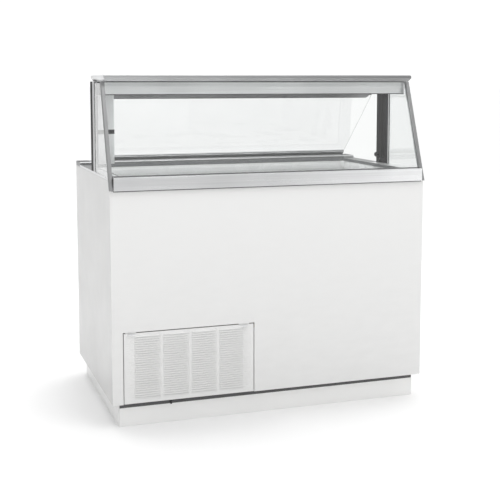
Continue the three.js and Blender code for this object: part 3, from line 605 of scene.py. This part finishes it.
def make_back_fixings():
    """Screws round the back panel, and the gland of the mains inlet."""
    low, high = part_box("back_panel")
    bm = bmesh.new()
    inset = mm(14)
    for side in (-1, 1):
        for share in (0.06, 0.36, 0.66, 0.94):
            screw(bm, (side * (high.x - inset), high.y, low.z + share * (high.z - low.z)), (0, 1, 0))
    for share in (0.25, 0.5, 0.75):
        x = low.x + share * (high.x - low.x)
        screw(bm, (x, high.y, high.z - inset), (0, 1, 0))
        screw(bm, (x, high.y, low.z + inset), (0, 1, 0))
    piece("back_panel_screws", bm, STEEL_Z, "cabinet")
    low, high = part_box("inlet_gland")
    middle = middle_of("inlet_gland")
    radius = (high.x - low.x) / 2
    bore, neck = mm(4.5), mm(9)
    bm = bmesh.new()
    turned(bm, [
        (bore, 0), (radius, 0), (radius, mm(6)), (neck, mm(7)), (neck, mm(14)), (mm(8.2), mm(14.6)),
        (mm(5), mm(14.6)), (bore, mm(14)), (bore, 0),
    ], (middle.x, low.y, middle.z), (0, 1, 0), 48, 24, mm(0.5))
    bmesh.ops.remove_doubles(bm, verts=bm.verts, dist=MERGE)
    piece("inlet_gland_body", bm, BLACK_PLASTIC, "cabinet", ["inlet_gland"])


# ---- louvred panel ---------------------------------------------------------------------------

LOUVRE_COLUMNS = 4
LOUVRE_ROWS = 27
LOUVRE_WIDTH = mm(93)
COLUMN_PITCH = mm(103)
ROW_PITCH = mm(8.27)
SLOT_HEIGHT = mm(3.2)
LOWEST_SLOT = mm(108)


def louvre_lefts():
    """Where each column of slots starts."""
    low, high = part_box("louvre_panel")
    first = (low.x + high.x - LOUVRE_WIDTH - (LOUVRE_COLUMNS - 1) * COLUMN_PITCH) / 2
    return [first + column * COLUMN_PITCH for column in range(LOUVRE_COLUMNS)]


def make_louvre_panel():
    """A folded tray with rows of slots through its face."""
    low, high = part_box("louvre_panel")
    fold = mm(1.5)
    slot_ends = sorted(x + side for x in louvre_lefts() for side in (0, LOUVRE_WIDTH))
    bottoms = [LOWEST_SLOT + row * ROW_PITCH for row in range(LOUVRE_ROWS)]
    slot_edges = sorted(z + side for z in bottoms for side in (0, SLOT_HEIGHT))
    xs = [low.x + fold, *slot_ends, high.x - fold]
    zs = [low.z + fold, *slot_edges, high.z - fold]
    bm = bmesh.new()
    grid = [[bm.verts.new((x, low.y, z)) for x in xs] for z in zs]
    for row, (lower, upper) in enumerate(zip(grid, grid[1:])):
        for column in range(len(xs) - 1):
            if row % 2 and column % 2:
                continue
            bm.faces.new((lower[column], lower[column + 1], upper[column + 1], upper[column]))
    sides = [grid[0], grid[-1], [row[0] for row in grid], [row[-1] for row in grid]]
    fold_back(bm, sides, fold, high.y - low.y)
    tray = piece("louvre_panel_face", bm, WHITE, "access_panel", ["louvre_panel"])
    wall = tray.modifiers.new("sheet", "SOLIDIFY")
    wall.thickness = mm(1.2)
    wall.offset = -1


def fold_back(bm, sides, fold, depth):
    """Turns the sheet's four edges back through a rounded fold and a flat return."""
    bottom, top, left, right = ({*side} for side in sides)
    around = bottom | top | left | right
    rim = [e for e in bm.edges if e.is_boundary and e.verts[0] in around and e.verts[1] in around]
    home = {v: (v.co.copy(), (v in right) - (v in left), (v in top) - (v in bottom)) for v in around}
    angles = (math.pi / 6, math.pi / 3, math.pi / 2)
    steps = [(fold * math.sin(angle), fold * (1 - math.cos(angle))) for angle in angles]
    steps.append((fold, depth))
    for out, back in steps:
        made = bmesh.ops.extrude_edge_only(bm, edges=rim)
        fresh = [g for g in made["geom"] if isinstance(g, bmesh.types.BMVert)]
        rim = [g for g in made["geom"] if isinstance(g, bmesh.types.BMEdge)]
        moved = {}
        for vert in fresh:
            old = min(home, key=lambda v: (v.co - vert.co).length_squared)
            moved[vert] = home[old]
        for vert, (first, way_x, way_z) in moved.items():
            vert.co = first + Vector((out * way_x, back, out * way_z))
        home = moved
        rim = [e for e in rim if e.is_boundary]


def make_louvre_hoods():
    """One pressed hood over every slot: it swells out from the face and stops at a downward lip."""
    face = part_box("louvre_panel")[0].y
    swell = mm(3.2)
    wall = mm(0.9)
    across = (-1, -0.975, -0.94, -0.87, -0.6, 0, 0.6, 0.87, 0.94, 0.975, 1)
    steps = 5
    square_ends = 9  # the higher, the squarer a hood's two ends
    bm = bmesh.new()
    for left in louvre_lefts():
        for row in range(LOUVRE_ROWS):
            lip = LOWEST_SLOT + row * ROW_PITCH + mm(0.5)
            root = lip + SLOT_HEIGHT + mm(1.5)
            outer, inner = [], []
            for u in across:
                x = left + LOUVRE_WIDTH * (0.5 + 0.5 * u)
                fullness = math.sqrt(1 - abs(u) ** square_ends)
                ridge, under = [], []
                for step in range(steps + 1):
                    share = step / steps
                    y = face - mm(0.05) - swell * fullness * math.sin(share * math.pi / 2)
                    z = root + (lip - root) * share
                    ridge.append(bm.verts.new((x, y, z)))
                    under.append(bm.verts.new((x, y + wall, z)))
                outer.append(ridge)
                inner.append(under)
            shell_between(bm, outer, inner)
    piece("louvre_hoods", bm, WHITE, "access_panel")


def shell_between(bm, outer, inner):
    """Closes two matching grids of vertices into one thin shell."""
    rows, columns = len(outer), len(outer[0])
    for grid in (outer, inner):
        for i in range(rows - 1):
            for j in range(columns - 1):
                bm.faces.new((grid[i][j], grid[i + 1][j], grid[i + 1][j + 1], grid[i][j + 1]))
    rim = [(i, 0) for i in range(rows)]
    rim += [(rows - 1, j) for j in range(1, columns)]
    rim += [(i, columns - 1) for i in range(rows - 2, -1, -1)]
    rim += [(0, j) for j in range(columns - 2, 0, -1)]
    for (a, b), (c, d) in zip(rim, rim[1:] + rim[:1]):
        bm.faces.new((outer[a][b], outer[c][d], inner[c][d], inner[a][b]))


def make_latches():
    """Quarter-turn fasteners: a turned head with a winged grip."""
    radius = mm(5)
    shaft = mm(2.5)
    shaft_end = mm(-1.2)
    for index, side in ((1, "left"), (2, "right")):
        node = f"panel_latch_{index}"
        low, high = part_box(node)
        foot = middle_of(node)
        foot.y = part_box("louvre_panel")[0].y - mm(0.4)
        bm = bmesh.new()
        turned(bm, [
            (0, 0), (radius, 0), (radius, mm(1.4)), (radius * 0.94, mm(2.1)), (radius * 0.8, mm(2.8)),
            (radius * 0.4, mm(3.5)), (0, mm(3.6)),
        ], foot, (0, -1, 0), 48)
        turned(bm, [
            (0, shaft_end), (shaft, shaft_end), (shaft, mm(0.1)), (0, mm(0.1)),
        ], foot, (0, -1, 0), 24)
        add_wings(bm, foot, (high.x - low.x) / 2, mm(4))
        piece(f"panel_latch_{side}_turn", bm, STEEL_Z, BODY_OF[node], [node])


def add_wings(bm, foot, reach, half_height):
    """The flat grip across a latch's head, narrower in the middle, with its front edge rounded."""
    waist = 0.62
    blunt = 0.6  # the lower, the squarer the grip's corners
    sides = 24
    outline = []
    for step in range(sides):
        angle = 2 * math.pi * step / sides
        bulge = math.copysign(abs(math.sin(angle)) ** blunt, math.sin(angle))
        width = waist + (1 - waist) * math.cos(angle) ** 2
        outline.append((reach * math.cos(angle), half_height * bulge * width))
    rows = []
    for share, height in ((1.0, 3.4), (1.0, 5.4), (0.93, 6.2), (0.8, 6.4)):
        rows.append([
            bm.verts.new(foot + Vector((x * share, -mm(height), z * share))) for x, z in outline
        ])
    for lower, upper in zip(rows, rows[1:]):
        skin_rows(bm, lower, upper)
    bm.faces.new(rows[0])
    bm.faces.new(rows[-1])


# ---- tank ------------------------------------------------------------------------------------

DEEP_FLOOR = mm(170)
SHALLOW_FLOOR = mm(430)
STEP_X = mm(-12)
LINER_WALL = mm(1.5)
CORNER_RADIUS = mm(16)
BEAD_HEIGHTS = (mm(838), mm(806))
BEAD_HALF = mm(5)
BEAD_DEPTH = mm(1.4)


def make_tank():
    """The liner is one drawn white shell: rounded corners, a step in its floor, two pressed beads."""
    low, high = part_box("tank_liner")
    left, right = low.x + LINER_WALL, high.x - LINER_WALL
    front, back = low.y + LINER_WALL, high.y - LINER_WALL
    outline = [
        (left, SHALLOW_FLOOR), (STEP_X, SHALLOW_FLOOR), (STEP_X, DEEP_FLOOR), (right, DEEP_FLOOR),
        (right, high.z), (left, high.z),
    ]
    bm = bmesh.new()
    rows = [[bm.verts.new((x, y, z)) for x, z in outline] for y in (front, back)]
    skin_rows(bm, rows[0], rows[1])
    bm.faces.new(rows[0])
    bm.faces.new(rows[1])
    bmesh.ops.recalc_face_normals(bm, faces=bm.faces)
    rounded = [e for e in bm.edges if not all(abs(v.co.z - high.z) < MERGE for v in e.verts)]
    bmesh.ops.bevel(
        bm, geom=rounded, offset=CORNER_RADIUS, segments=6, affect="EDGES", profile=0.5,
    )
    mouth = [f for f in bm.faces if all(abs(v.co.z - high.z) < MERGE for v in f.verts)]
    bmesh.ops.delete(bm, geom=mouth, context="FACES")
    for height in BEAD_HEIGHTS:
        press_bead(bm, height)
    bmesh.ops.recalc_face_normals(bm, faces=bm.faces)
    liner = piece("tank_liner_shell", bm, TANK_WHITE, "cabinet", ["tank_liner"])
    wall = liner.modifiers.new("sheet", "SOLIDIFY")
    wall.thickness = LINER_WALL
    wall.offset = 1
    cut_drain_hole(liner)
    dressed("breaker_frame", 0.6)
    make_plug()


def press_bead(bm, height):
    """A level bead pressed into the walls round the tank."""
    for share in (-1, -0.5, 0, 0.5, 1):
        split(bm, (0, 0, height + share * BEAD_HALF), (0, 0, 1))
    low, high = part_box("tank_liner")
    middle = (low.y + high.y) / 2
    near_wall = mm(18)
    for vert in bm.verts:
        rise = abs(vert.co.z - height)
        if rise < BEAD_HALF - MERGE:
            push = BEAD_DEPTH * math.cos(rise / BEAD_HALF * math.pi / 2)
            if abs(vert.co.x) > high.x - near_wall:
                vert.co.x -= math.copysign(push, vert.co.x)
            if abs(vert.co.y - middle) > (high.y - low.y) / 2 - near_wall:
                vert.co.y -= math.copysign(push, vert.co.y - middle)


def cut_drain_hole(liner):
    """The seat of the drain plug, cut through the liner's deeper floor."""
    radius, length = mm(14.4), mm(40)
    foot = middle_of("drain_plug")
    foot.z = DEEP_FLOOR - length / 2
    bm = bmesh.new()
    turned(bm, [(0, 0), (radius, 0), (radius, length), (0, length)], foot, (0, 0, 1))
    mesh = bpy.data.meshes.new("drain_cutter")
    bmesh.ops.recalc_face_normals(bm, faces=bm.faces)
    bm.to_mesh(mesh)
    bm.free()
    cutter = add_object("drain_cutter", mesh)
    hole = liner.modifiers.new("hole", "BOOLEAN")
    hole.object = cutter
    hole.solver = "EXACT"
    bpy.context.view_layer.update()
    shaped = liner.evaluated_get(bpy.context.evaluated_depsgraph_get())
    baked = bpy.data.meshes.new_from_object(shaped)
    liner.modifiers.clear()
    liner.data = baked
    bpy.data.objects.remove(cutter)


def make_plug():
    """A rubber plug: a tapered foot, a flange and a waisted grip."""
    low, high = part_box("drain_plug")
    radius = (high.x - low.x) / 2
    flange = middle_of("drain_plug")
    flange.z = DEEP_FLOOR + mm(0.4)
    below, above = low.z - flange.z, high.z - flange.z
    bm = bmesh.new()
    turned(bm, [
        (0, below), (radius * 0.6, below), (radius * 0.66, mm(-0.6)), (radius, 0), (radius, mm(3)),
        (radius * 0.94, mm(4.6)), (radius * 0.5, mm(5.4)), (mm(5), mm(6.5)), (mm(4.2), mm(12)),
        (mm(5), mm(18)), (mm(4.4), above - mm(0.8)), (mm(3), above), (0, above),
    ], flange, (0, 0, 1), 40)
    piece("drain_plug_body", bm, RUBBER, "plug", ["drain_plug"])


# ---- rim -------------------------------------------------------------------------------------

LEVEL = 0.8  # a rim's face is level or upright when its normal reaches this share of the axis


def make_rim():
    """The steel round the mouth, in copies that paint light and shade: darker where the rear rim faces
    the tank and at its corners.
    """
    # The band carries the painted sheen.
    dressed("rim_front", 1.0, STEEL_BAND_SHEEN, 3)
    rear = node_mesh("rim_rear")
    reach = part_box("breaker_frame")[1].x
    for x in (-reach, reach):
        split(rear, (x, 0, 0), (1, 0, 0))
    # Painted shade: the faces towards the tank and the tops at the ends take darker copies of the
    # steel.
    for face in rear.faces:
        if abs(face.calc_center_median().x) < reach:
            face.material_index = 1 if face.normal.y < -LEVEL else 0
        else:
            face.material_index = 2 if face.normal.z > LEVEL else 0
    piece(
        "rim_rear_skin", rear, (STEEL_MID_SHADE_X, STEEL_DARK_SHADE_X, STEEL_SHADE_X), "cabinet", ["rim_rear"],
        mm(1), 3,
    )
    for side, _ in SIDES:
        make_side_rim(side)


def make_side_rim(side):
    """The rim beside the tank: painted light along the guard, and painted shade on its top behind it.
    """
    node = f"rim_{side}"
    bm = node_mesh(node)
    guard_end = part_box(f"post_{side}")[1].y
    split(bm, (0, guard_end, 0), (0, 1, 0))
    for face in bm.faces:
        behind = face.calc_center_median().y > guard_end
        face.material_index = 1 if behind and face.normal.z > LEVEL else 0
    piece(node + "_skin", bm, (STEEL_PAINTED_LIGHT_Y, STEEL_DARK_SHADE_X), "cabinet", [node], mm(0.8))


# ---- sneeze guard ----------------------------------------------------------------------------

STILE_DEPTH = mm(22)
GLASS_SETBACK = mm(7)


def stile_front(height):
    """Y of the slanted stiles' front edge at a height."""
    low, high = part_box("stile_left")
    slope = (high.y - STILE_DEPTH - low.y) / (high.z - low.z)
    return low.y + (height - low.z) * slope


def make_guard():
    """Stiles, posts and panes, the header, the stainless top, and the dark joints between them: rubber
    seals at the pane's foot and strips of painted shade elsewhere.
    """
    for side, sign in SIDES:
        make_stile(side, sign)
        dressed(f"end_glass_{side}", 0.5, END_GLASS)
        make_post(side, sign)
        make_knob(side)
    dressed("front_glass", 0.5)
    # The header takes the paler copy of the steel: painted light.
    dressed("header_panel", 0.4, STEEL_PAINTED_LIGHT_X)
    # The rear header takes the darker copy of the aluminium: painted shade.
    dressed("rear_header", 0.4, ALUMINIUM_SHADE)
    make_canopy()
    make_seals()
    make_strips()


def make_stile(side, sign):
    """The slanted end frame: painted shade on its front and outer faces, bright steel inside."""
    node = f"stile_{side}"
    bm = node_mesh(node)
    for face in bm.faces:
        face.material_index = 1 if face.normal.x * sign < -STEEP else 0
    piece(node + "_skin", bm, (STEEL_DARK_SHADE_Z, STEEL_Z), "cabinet", [node], mm(0.6))


def make_canopy():
    """The slab in copies of its steel that paint light and shade: its long edges and underside darker
    than its top, with a painted reflection along them, and its ends a painted highlight.
    """
    bm = node_mesh("canopy_top")
    low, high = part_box("canopy_top")
    slanted = 0.6
    for face in bm.faces:
        middle = face.calc_center_median()
        outermost = middle.y < low.y + mm(7) or middle.y > high.y - mm(2)
        long_edge = abs(face.normal.y) > slanted and outermost
        end = abs(face.normal.x) > slanted and abs(middle.x) > high.x - mm(12)
        face.material_index = 2 if end else 1 if long_edge or face.normal.z < -STEEP else 0
    piece(
        "canopy_top_skin", bm, (STEEL_MID_SHADE_X, STEEL_EDGE_SHADE_AND_SHEEN, STEEL_PAINTED_LIGHT_Y), "cabinet", ["canopy_top"],
        mm(1.2), 3,
    )


def make_post(side, sign):
    """The post in copies of its steel that paint light and shade: bright on its outer face and front
    lip, grey painted shade inside its rear lip, dark painted shade elsewhere.
    """
    node = f"post_{side}"
    bm = node_mesh(node)
    low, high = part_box(node)
    outer = high.x if sign > 0 else low.x
    for face in bm.faces:
        middle = face.calc_center_median()
        looks_forward = face.normal.y < -0.5
        outside = abs(middle.x - outer) < mm(0.5)
        front_lip = looks_forward and middle.y < low.y + mm(2)
        rear_lip = looks_forward and middle.y > high.y - mm(4)
        face.material_index = 0 if outside or front_lip else 2 if rear_lip else 1
    piece(
        node + "_skin", bm, (STEEL_Z, DARK_TRIM_AND_SHADE, STEEL_GREY_SHADE_Z), "cabinet", [node],
        mm(0.6),
    )
    strip = bmesh.new()
    skin = outer + sign * mm(1.3)
    block(
        strip, (min(outer, skin), high.y - mm(40), low.z),
        (max(outer, skin), high.y - mm(8), high.z),
    )
    piece(node + "_trim", strip, DARK_TRIM_AND_SHADE, "cabinet", bevel=mm(0.4))


def make_knob(side):
    """A fluted grip on a steel shaft."""
    node = f"post_knob_{side}"
    low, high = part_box(node)
    radius = (high.z - low.z) / 2
    shaft = mm(3)
    length = mm(12)
    foot = middle_of(node)
    foot.y = high.y - length
    shaft_end = low.y - foot.y
    bm = bmesh.new()
    turned(bm, [
        (0, 0), (radius * 0.7, 0), (radius * 0.8, mm(1)), (radius, mm(2)), (radius, mm(10)),
        (radius * 0.93, mm(11.3)), (radius * 0.7, length), (radius * 0.35, mm(11.6)), (0, mm(11.4)),
    ], foot, (0, 1, 0), 72, 12, mm(0.9))
    turned(bm, [
        (0, shaft_end), (shaft, shaft_end), (shaft, mm(0.5)), (0, mm(0.5)),
    ], foot, (0, 1, 0), 24)
    piece(node + "_grip", bm, BLACK_PLASTIC, BODY_OF[node], [node])


def make_seals():
    """Rubber along the foot of the front pane, seated in the band's slanted channel."""
    low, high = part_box("rim_front")
    for name, near, far in (("front", -3.0, -0.2), ("rear", 5.2, 7.6)):
        bm = bmesh.new()
        foot, head = high.z - mm(2), high.z + mm(2.2)
        outline = [
            (stile_front(z) + GLASS_SETBACK + mm(offset), z)
            for z, offset in ((foot, near), (foot, far), (head, far), (head - mm(0.8), near))
        ]
        prism(bm, outline, low.x + mm(0.4), high.x - mm(0.4))
        piece(f"glass_seal_{name}", bm, GREY_RUBBER_AND_SHADE, "cabinet", bevel=mm(0.3))


def make_strips():
    """Dark strips of painted shade along the joints: over and under the header, and beneath the band.
    """
    low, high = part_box("header_panel")
    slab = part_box("canopy_top")[0].z
    band_low, band_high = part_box("rim_front")
    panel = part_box("front_panel")[0].y
    corners = {
        "header_top_painted_shade": (
            (low.x, low.y - mm(2), slab - mm(4)),
            (high.x, low.y - mm(0.1), slab - mm(0.3)),
        ),
        "header_edge_painted_shade": (
            (low.x, low.y - mm(1.2), low.z - mm(1)),
            (high.x, low.y + mm(2.4), low.z + mm(2.2)),
        ),
        "band_joint_painted_shade": (
            (band_low.x, panel - mm(7), band_low.z - mm(3.5)),
            (band_high.x, panel - mm(0.1), band_low.z),
        ),
    }
    for name, (first, last) in corners.items():
        bm = bmesh.new()
        block(bm, first, last)
        piece(f"{name}_strip", bm, GREY_RUBBER_AND_SHADE, "cabinet", bevel=mm(0.5))


# ---- lamp and its lead -----------------------------------------------------------------------

def make_lamp():
    """The lamp under the canopy: a glass tube between two metal caps."""
    dressed("lamp_housing", 0.5)
    low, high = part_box("lamp_tube")
    middle = middle_of("lamp_tube")
    radius = (high.z - low.z) / 2
    glass, neck = radius * 0.98, radius * 0.9
    cap = mm(14)
    end = high.x - low.x - cap
    bm = bmesh.new()
    turned(bm, [
        (0, cap), (neck, cap), (glass, cap + mm(2)), (glass, end - mm(2)), (neck, end), (0, end),
    ], (low.x, middle.y, middle.z), (1, 0, 0), 48)
    piece("lamp_tube_glass", bm, LAMP_WHITE, "cabinet", ["lamp_tube"])
    bm = bmesh.new()
    for start, way in ((low.x, 1), (high.x, -1)):
        turned(bm, [
            (0, 0), (radius * 0.8, 0), (radius, mm(1)), (radius, cap - mm(0.6)), (neck, cap), (0, cap),
        ], (start, middle.y, middle.z), (way, 0, 0), 48)
    piece("lamp_tube_caps", bm, ALUMINIUM, "cabinet")


def make_chase():
    """The upright channel for the lamp lead, with a dark strap that holds the switch at its rear."""
    # The chase takes the paler copy of the steel: painted light.
    dressed("wire_chase", 0.8, STEEL_PAINTED_LIGHT_Z)
    dressed("lamp_switch", 0.4)
    low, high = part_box("wire_chase")
    switch_low, switch_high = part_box("lamp_switch")
    middle = (switch_low.z + switch_high.z) / 2 + mm(15)
    thick, half, gap = mm(0.9), mm(8), mm(0.02)
    bottom, top = middle - half, middle + half
    bm = bmesh.new()
    block(bm, (low.x - thick, low.y - thick, bottom), (high.x + thick, low.y - gap, top))
    block(bm, (high.x + gap, low.y - thick, bottom), (high.x + thick, high.y, top))
    piece("switch_strap", bm, DARK_TRIM_AND_SHADE, "cabinet", bevel=mm(0.3))


# ---- rear lid --------------------------------------------------------------------------------

def make_lid():
    """The clear lid, its rail and handle bar, and its hinges with sunk screws in the fixed leaves."""
    dressed("lid_pane", 0.8)
    # The rail and the hinges take the darker copy of the aluminium: painted shade.
    dressed("lid_top_rail", 0.8, ALUMINIUM_SHADE)
    # The handle bar takes the darker copy of the steel: painted shade.
    dressed("lid_handle_bar", 1.0, STEEL_MID_SHADE_X, 3)
    for index in (1, 2):
        dressed(f"lid_hinge_{index}", 0.4, ALUMINIUM_SHADE)
        low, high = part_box(f"lid_hinge_{index}")
        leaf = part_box("rear_header")[1].y + mm(0.7)
        bm = bmesh.new()
        for share in (0.22, 0.78):
            screw(bm, (low.x + share * (high.x - low.x), leaf, high.z - mm(7)), (0, 1, 0), mm(2.2))
        piece(f"lid_hinge_{index}_screws", bm, STEEL_Z, "cabinet")


# ---- condensing unit and controls ------------------------------------------------------------

def make_coil():
    """Thin fins between two end plates, on two columns of straight copper tubes."""
    low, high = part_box("condenser_coil")
    plate = mm(2)
    half_fin = mm(0.18)
    pitch = mm(3.2)
    inset = mm(3)
    count = int((high.x - low.x - 2 * plate) / pitch)
    start = (low.x + high.x - (count - 1) * pitch) / 2
    bm = bmesh.new()
    for fin in range(count):
        x = start + fin * pitch
        block(bm, (x - half_fin, low.y, low.z + inset), (x + half_fin, high.y, high.z - inset))
    for x in (low.x, high.x - plate):
        block(bm, (x, low.y, low.z), (x + plate, high.y, high.z))
    piece("condenser_fins", bm, ALUMINIUM, "cabinet", ["condenser_coil"])
    bm = bmesh.new()
    rows = 8
    step = (high.z - low.z) / rows
    for row in range(rows):
        z = low.z + (row + 0.5) * step
        for depth in (0.28, 0.72):
            y = low.y + depth * (high.y - low.y)
            outline = [(y + a, z + b) for a, b in circle(mm(4.2))]
            prism(bm, outline, low.x + mm(1), high.x - mm(1))
    piece("condenser_tubes", bm, COPPER, "cabinet")


def make_compressor():
    """A welded steel pot on a pressed foot, with rubber bushes under the foot."""
    low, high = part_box("compressor")
    middle = middle_of("compressor")
    radius = mm(82)
    base = low.z + mm(13.6)
    profile = [
        (0, 0), (0.55, 0), (0.78, 4), (0.9, 11), (0.97, 24), (1, 42), (1, 92), (1.03, 93.5),
        (1.05, 95.5), (1.05, 97.5), (1.03, 99.5), (1, 101), (1, 138), (0.975, 152), (0.92, 165),
        (0.82, 176), (0.66, 184), (0.45, 189), (0.2, 191.5), (0, 192),
    ]
    bm = bmesh.new()
    turned(bm, [(share * radius, mm(height)) for share, height in profile],
           (middle.x, middle.y, base), (0, 0, 1), 64)
    foot = mm(62)
    block(bm, (low.x, middle.y - foot, base - mm(2)), (high.x, middle.y + foot, base + mm(4)))
    bush, waist = mm(9), mm(7)
    for x in (-80, 80):
        for y in (-48, 48):
            turned(bm, [
                (0, 0), (bush, 0), (bush, mm(3)), (waist, mm(5)), (bush, mm(8)), (bush, mm(12)),
                (0, mm(12)),
            ], (middle.x + mm(x), middle.y + mm(y), low.z), (0, 0, 1), 24)
    piece("compressor_pot", bm, BLACK_PAINT, "cabinet", ["compressor"])
    dressed("terminal_cover", 1.5, None, 3)


def make_unit():
    """Everything behind the louvred panel and under the tank."""
    make_coil()
    make_compressor()
    for node in ("unit_base", "fan_shroud", "fan_motor", "fan_blade"):
        dressed(node, 0.5)
    dressed("junction_box", 1.0)
    for node in ("discharge_tube", "liquid_line", "suction_line", "evaporator_tubing", "drain_tube"):
        dressed(node, 0.3, None, 1)
    for node in ("floor_pan", "base_skid_left", "base_skid_right", "foam_insulation"):
        dressed(node, 0.5)
    make_thermostat()
    make_drier()


def make_drier():
    """A spun copper can, necked down to the pipe at both ends."""
    low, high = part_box("filter_drier")
    middle = middle_of("filter_drier")
    length = high.y - low.y
    radius = (high.x - low.x) / 2
    pipe, shoulder = mm(6), radius * 0.6
    half = [(0, 0), (pipe, 0), (pipe, mm(8)), (shoulder, mm(11)), (radius, mm(18))]
    profile = half + [(width, length - height) for width, height in reversed(half)]
    bm = bmesh.new()
    turned(bm, profile, (middle.x, low.y, middle.z), (0, 1, 0), 40)
    piece("filter_drier_body", bm, COPPER, "cabinet", ["filter_drier"])


def make_thermostat():
    """A fluted knob on a shaft, with a pointer across its front."""
    low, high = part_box("thermostat_knob")
    radius = mm(17)
    shaft = mm(3)
    x, z = (low.x + high.x) / 2, low.z + radius
    bm = bmesh.new()
    turned(bm, [
        (0, 0), (shaft, 0), (shaft, mm(12)), (radius, mm(12)), (radius, mm(22)),
        (radius * 0.94, mm(24)), (radius * 0.84, mm(25.4)), (radius * 0.3, mm(26)), (0, mm(26)),
    ], (x, high.y, z), (0, -1, 0), 96, 24, mm(0.8))
    block(bm, (x - mm(2), low.y, z), (x + mm(2), low.y + mm(4), z + mm(16)))
    piece("thermostat_grip", bm, BLACK_PLASTIC, "thermostat", ["thermostat_knob"])


# ---- everything together ---------------------------------------------------------------------

def paint_cad_nodes():
    """Every CAD node gets the node material of its slot, whether or not a piece replaces it."""
    for name, node in frame["nodes"].items():
        node.data.materials.clear()
        node.data.materials.append(BY_SLOT[SLOT_OF[name]])


def make_floor():
    reach = 300  # metres, past where the eye sees an edge
    mesh = bpy.data.meshes.new("floor")
    corners = [(-reach, -reach, 0), (reach, -reach, 0), (reach, reach, 0), (-reach, reach, 0)]
    mesh.from_pydata(corners, [], [(0, 1, 2, 3)])
    mesh.materials.append(floor_paper())
    add_object("floor", mesh)


make_camera()
make_world()
bpy.context.scene.view_settings.view_transform = "Standard"
make_light("key", place=(0.9, -2.1, 4.3), target=(0, -0.2, 0.5), size=1.8, power=28)
make_light("overhead", place=(-0.3, 0.6, 3.8), target=(0, 0, 0.8), size=2.4, power=28)
make_floor()
paint_cad_nodes()
make_base()
make_panels()
make_louvre_panel()
make_louvre_hoods()
make_latches()
make_tank()
make_rim()
make_guard()
make_lamp()
make_chase()
make_lid()
make_unit()
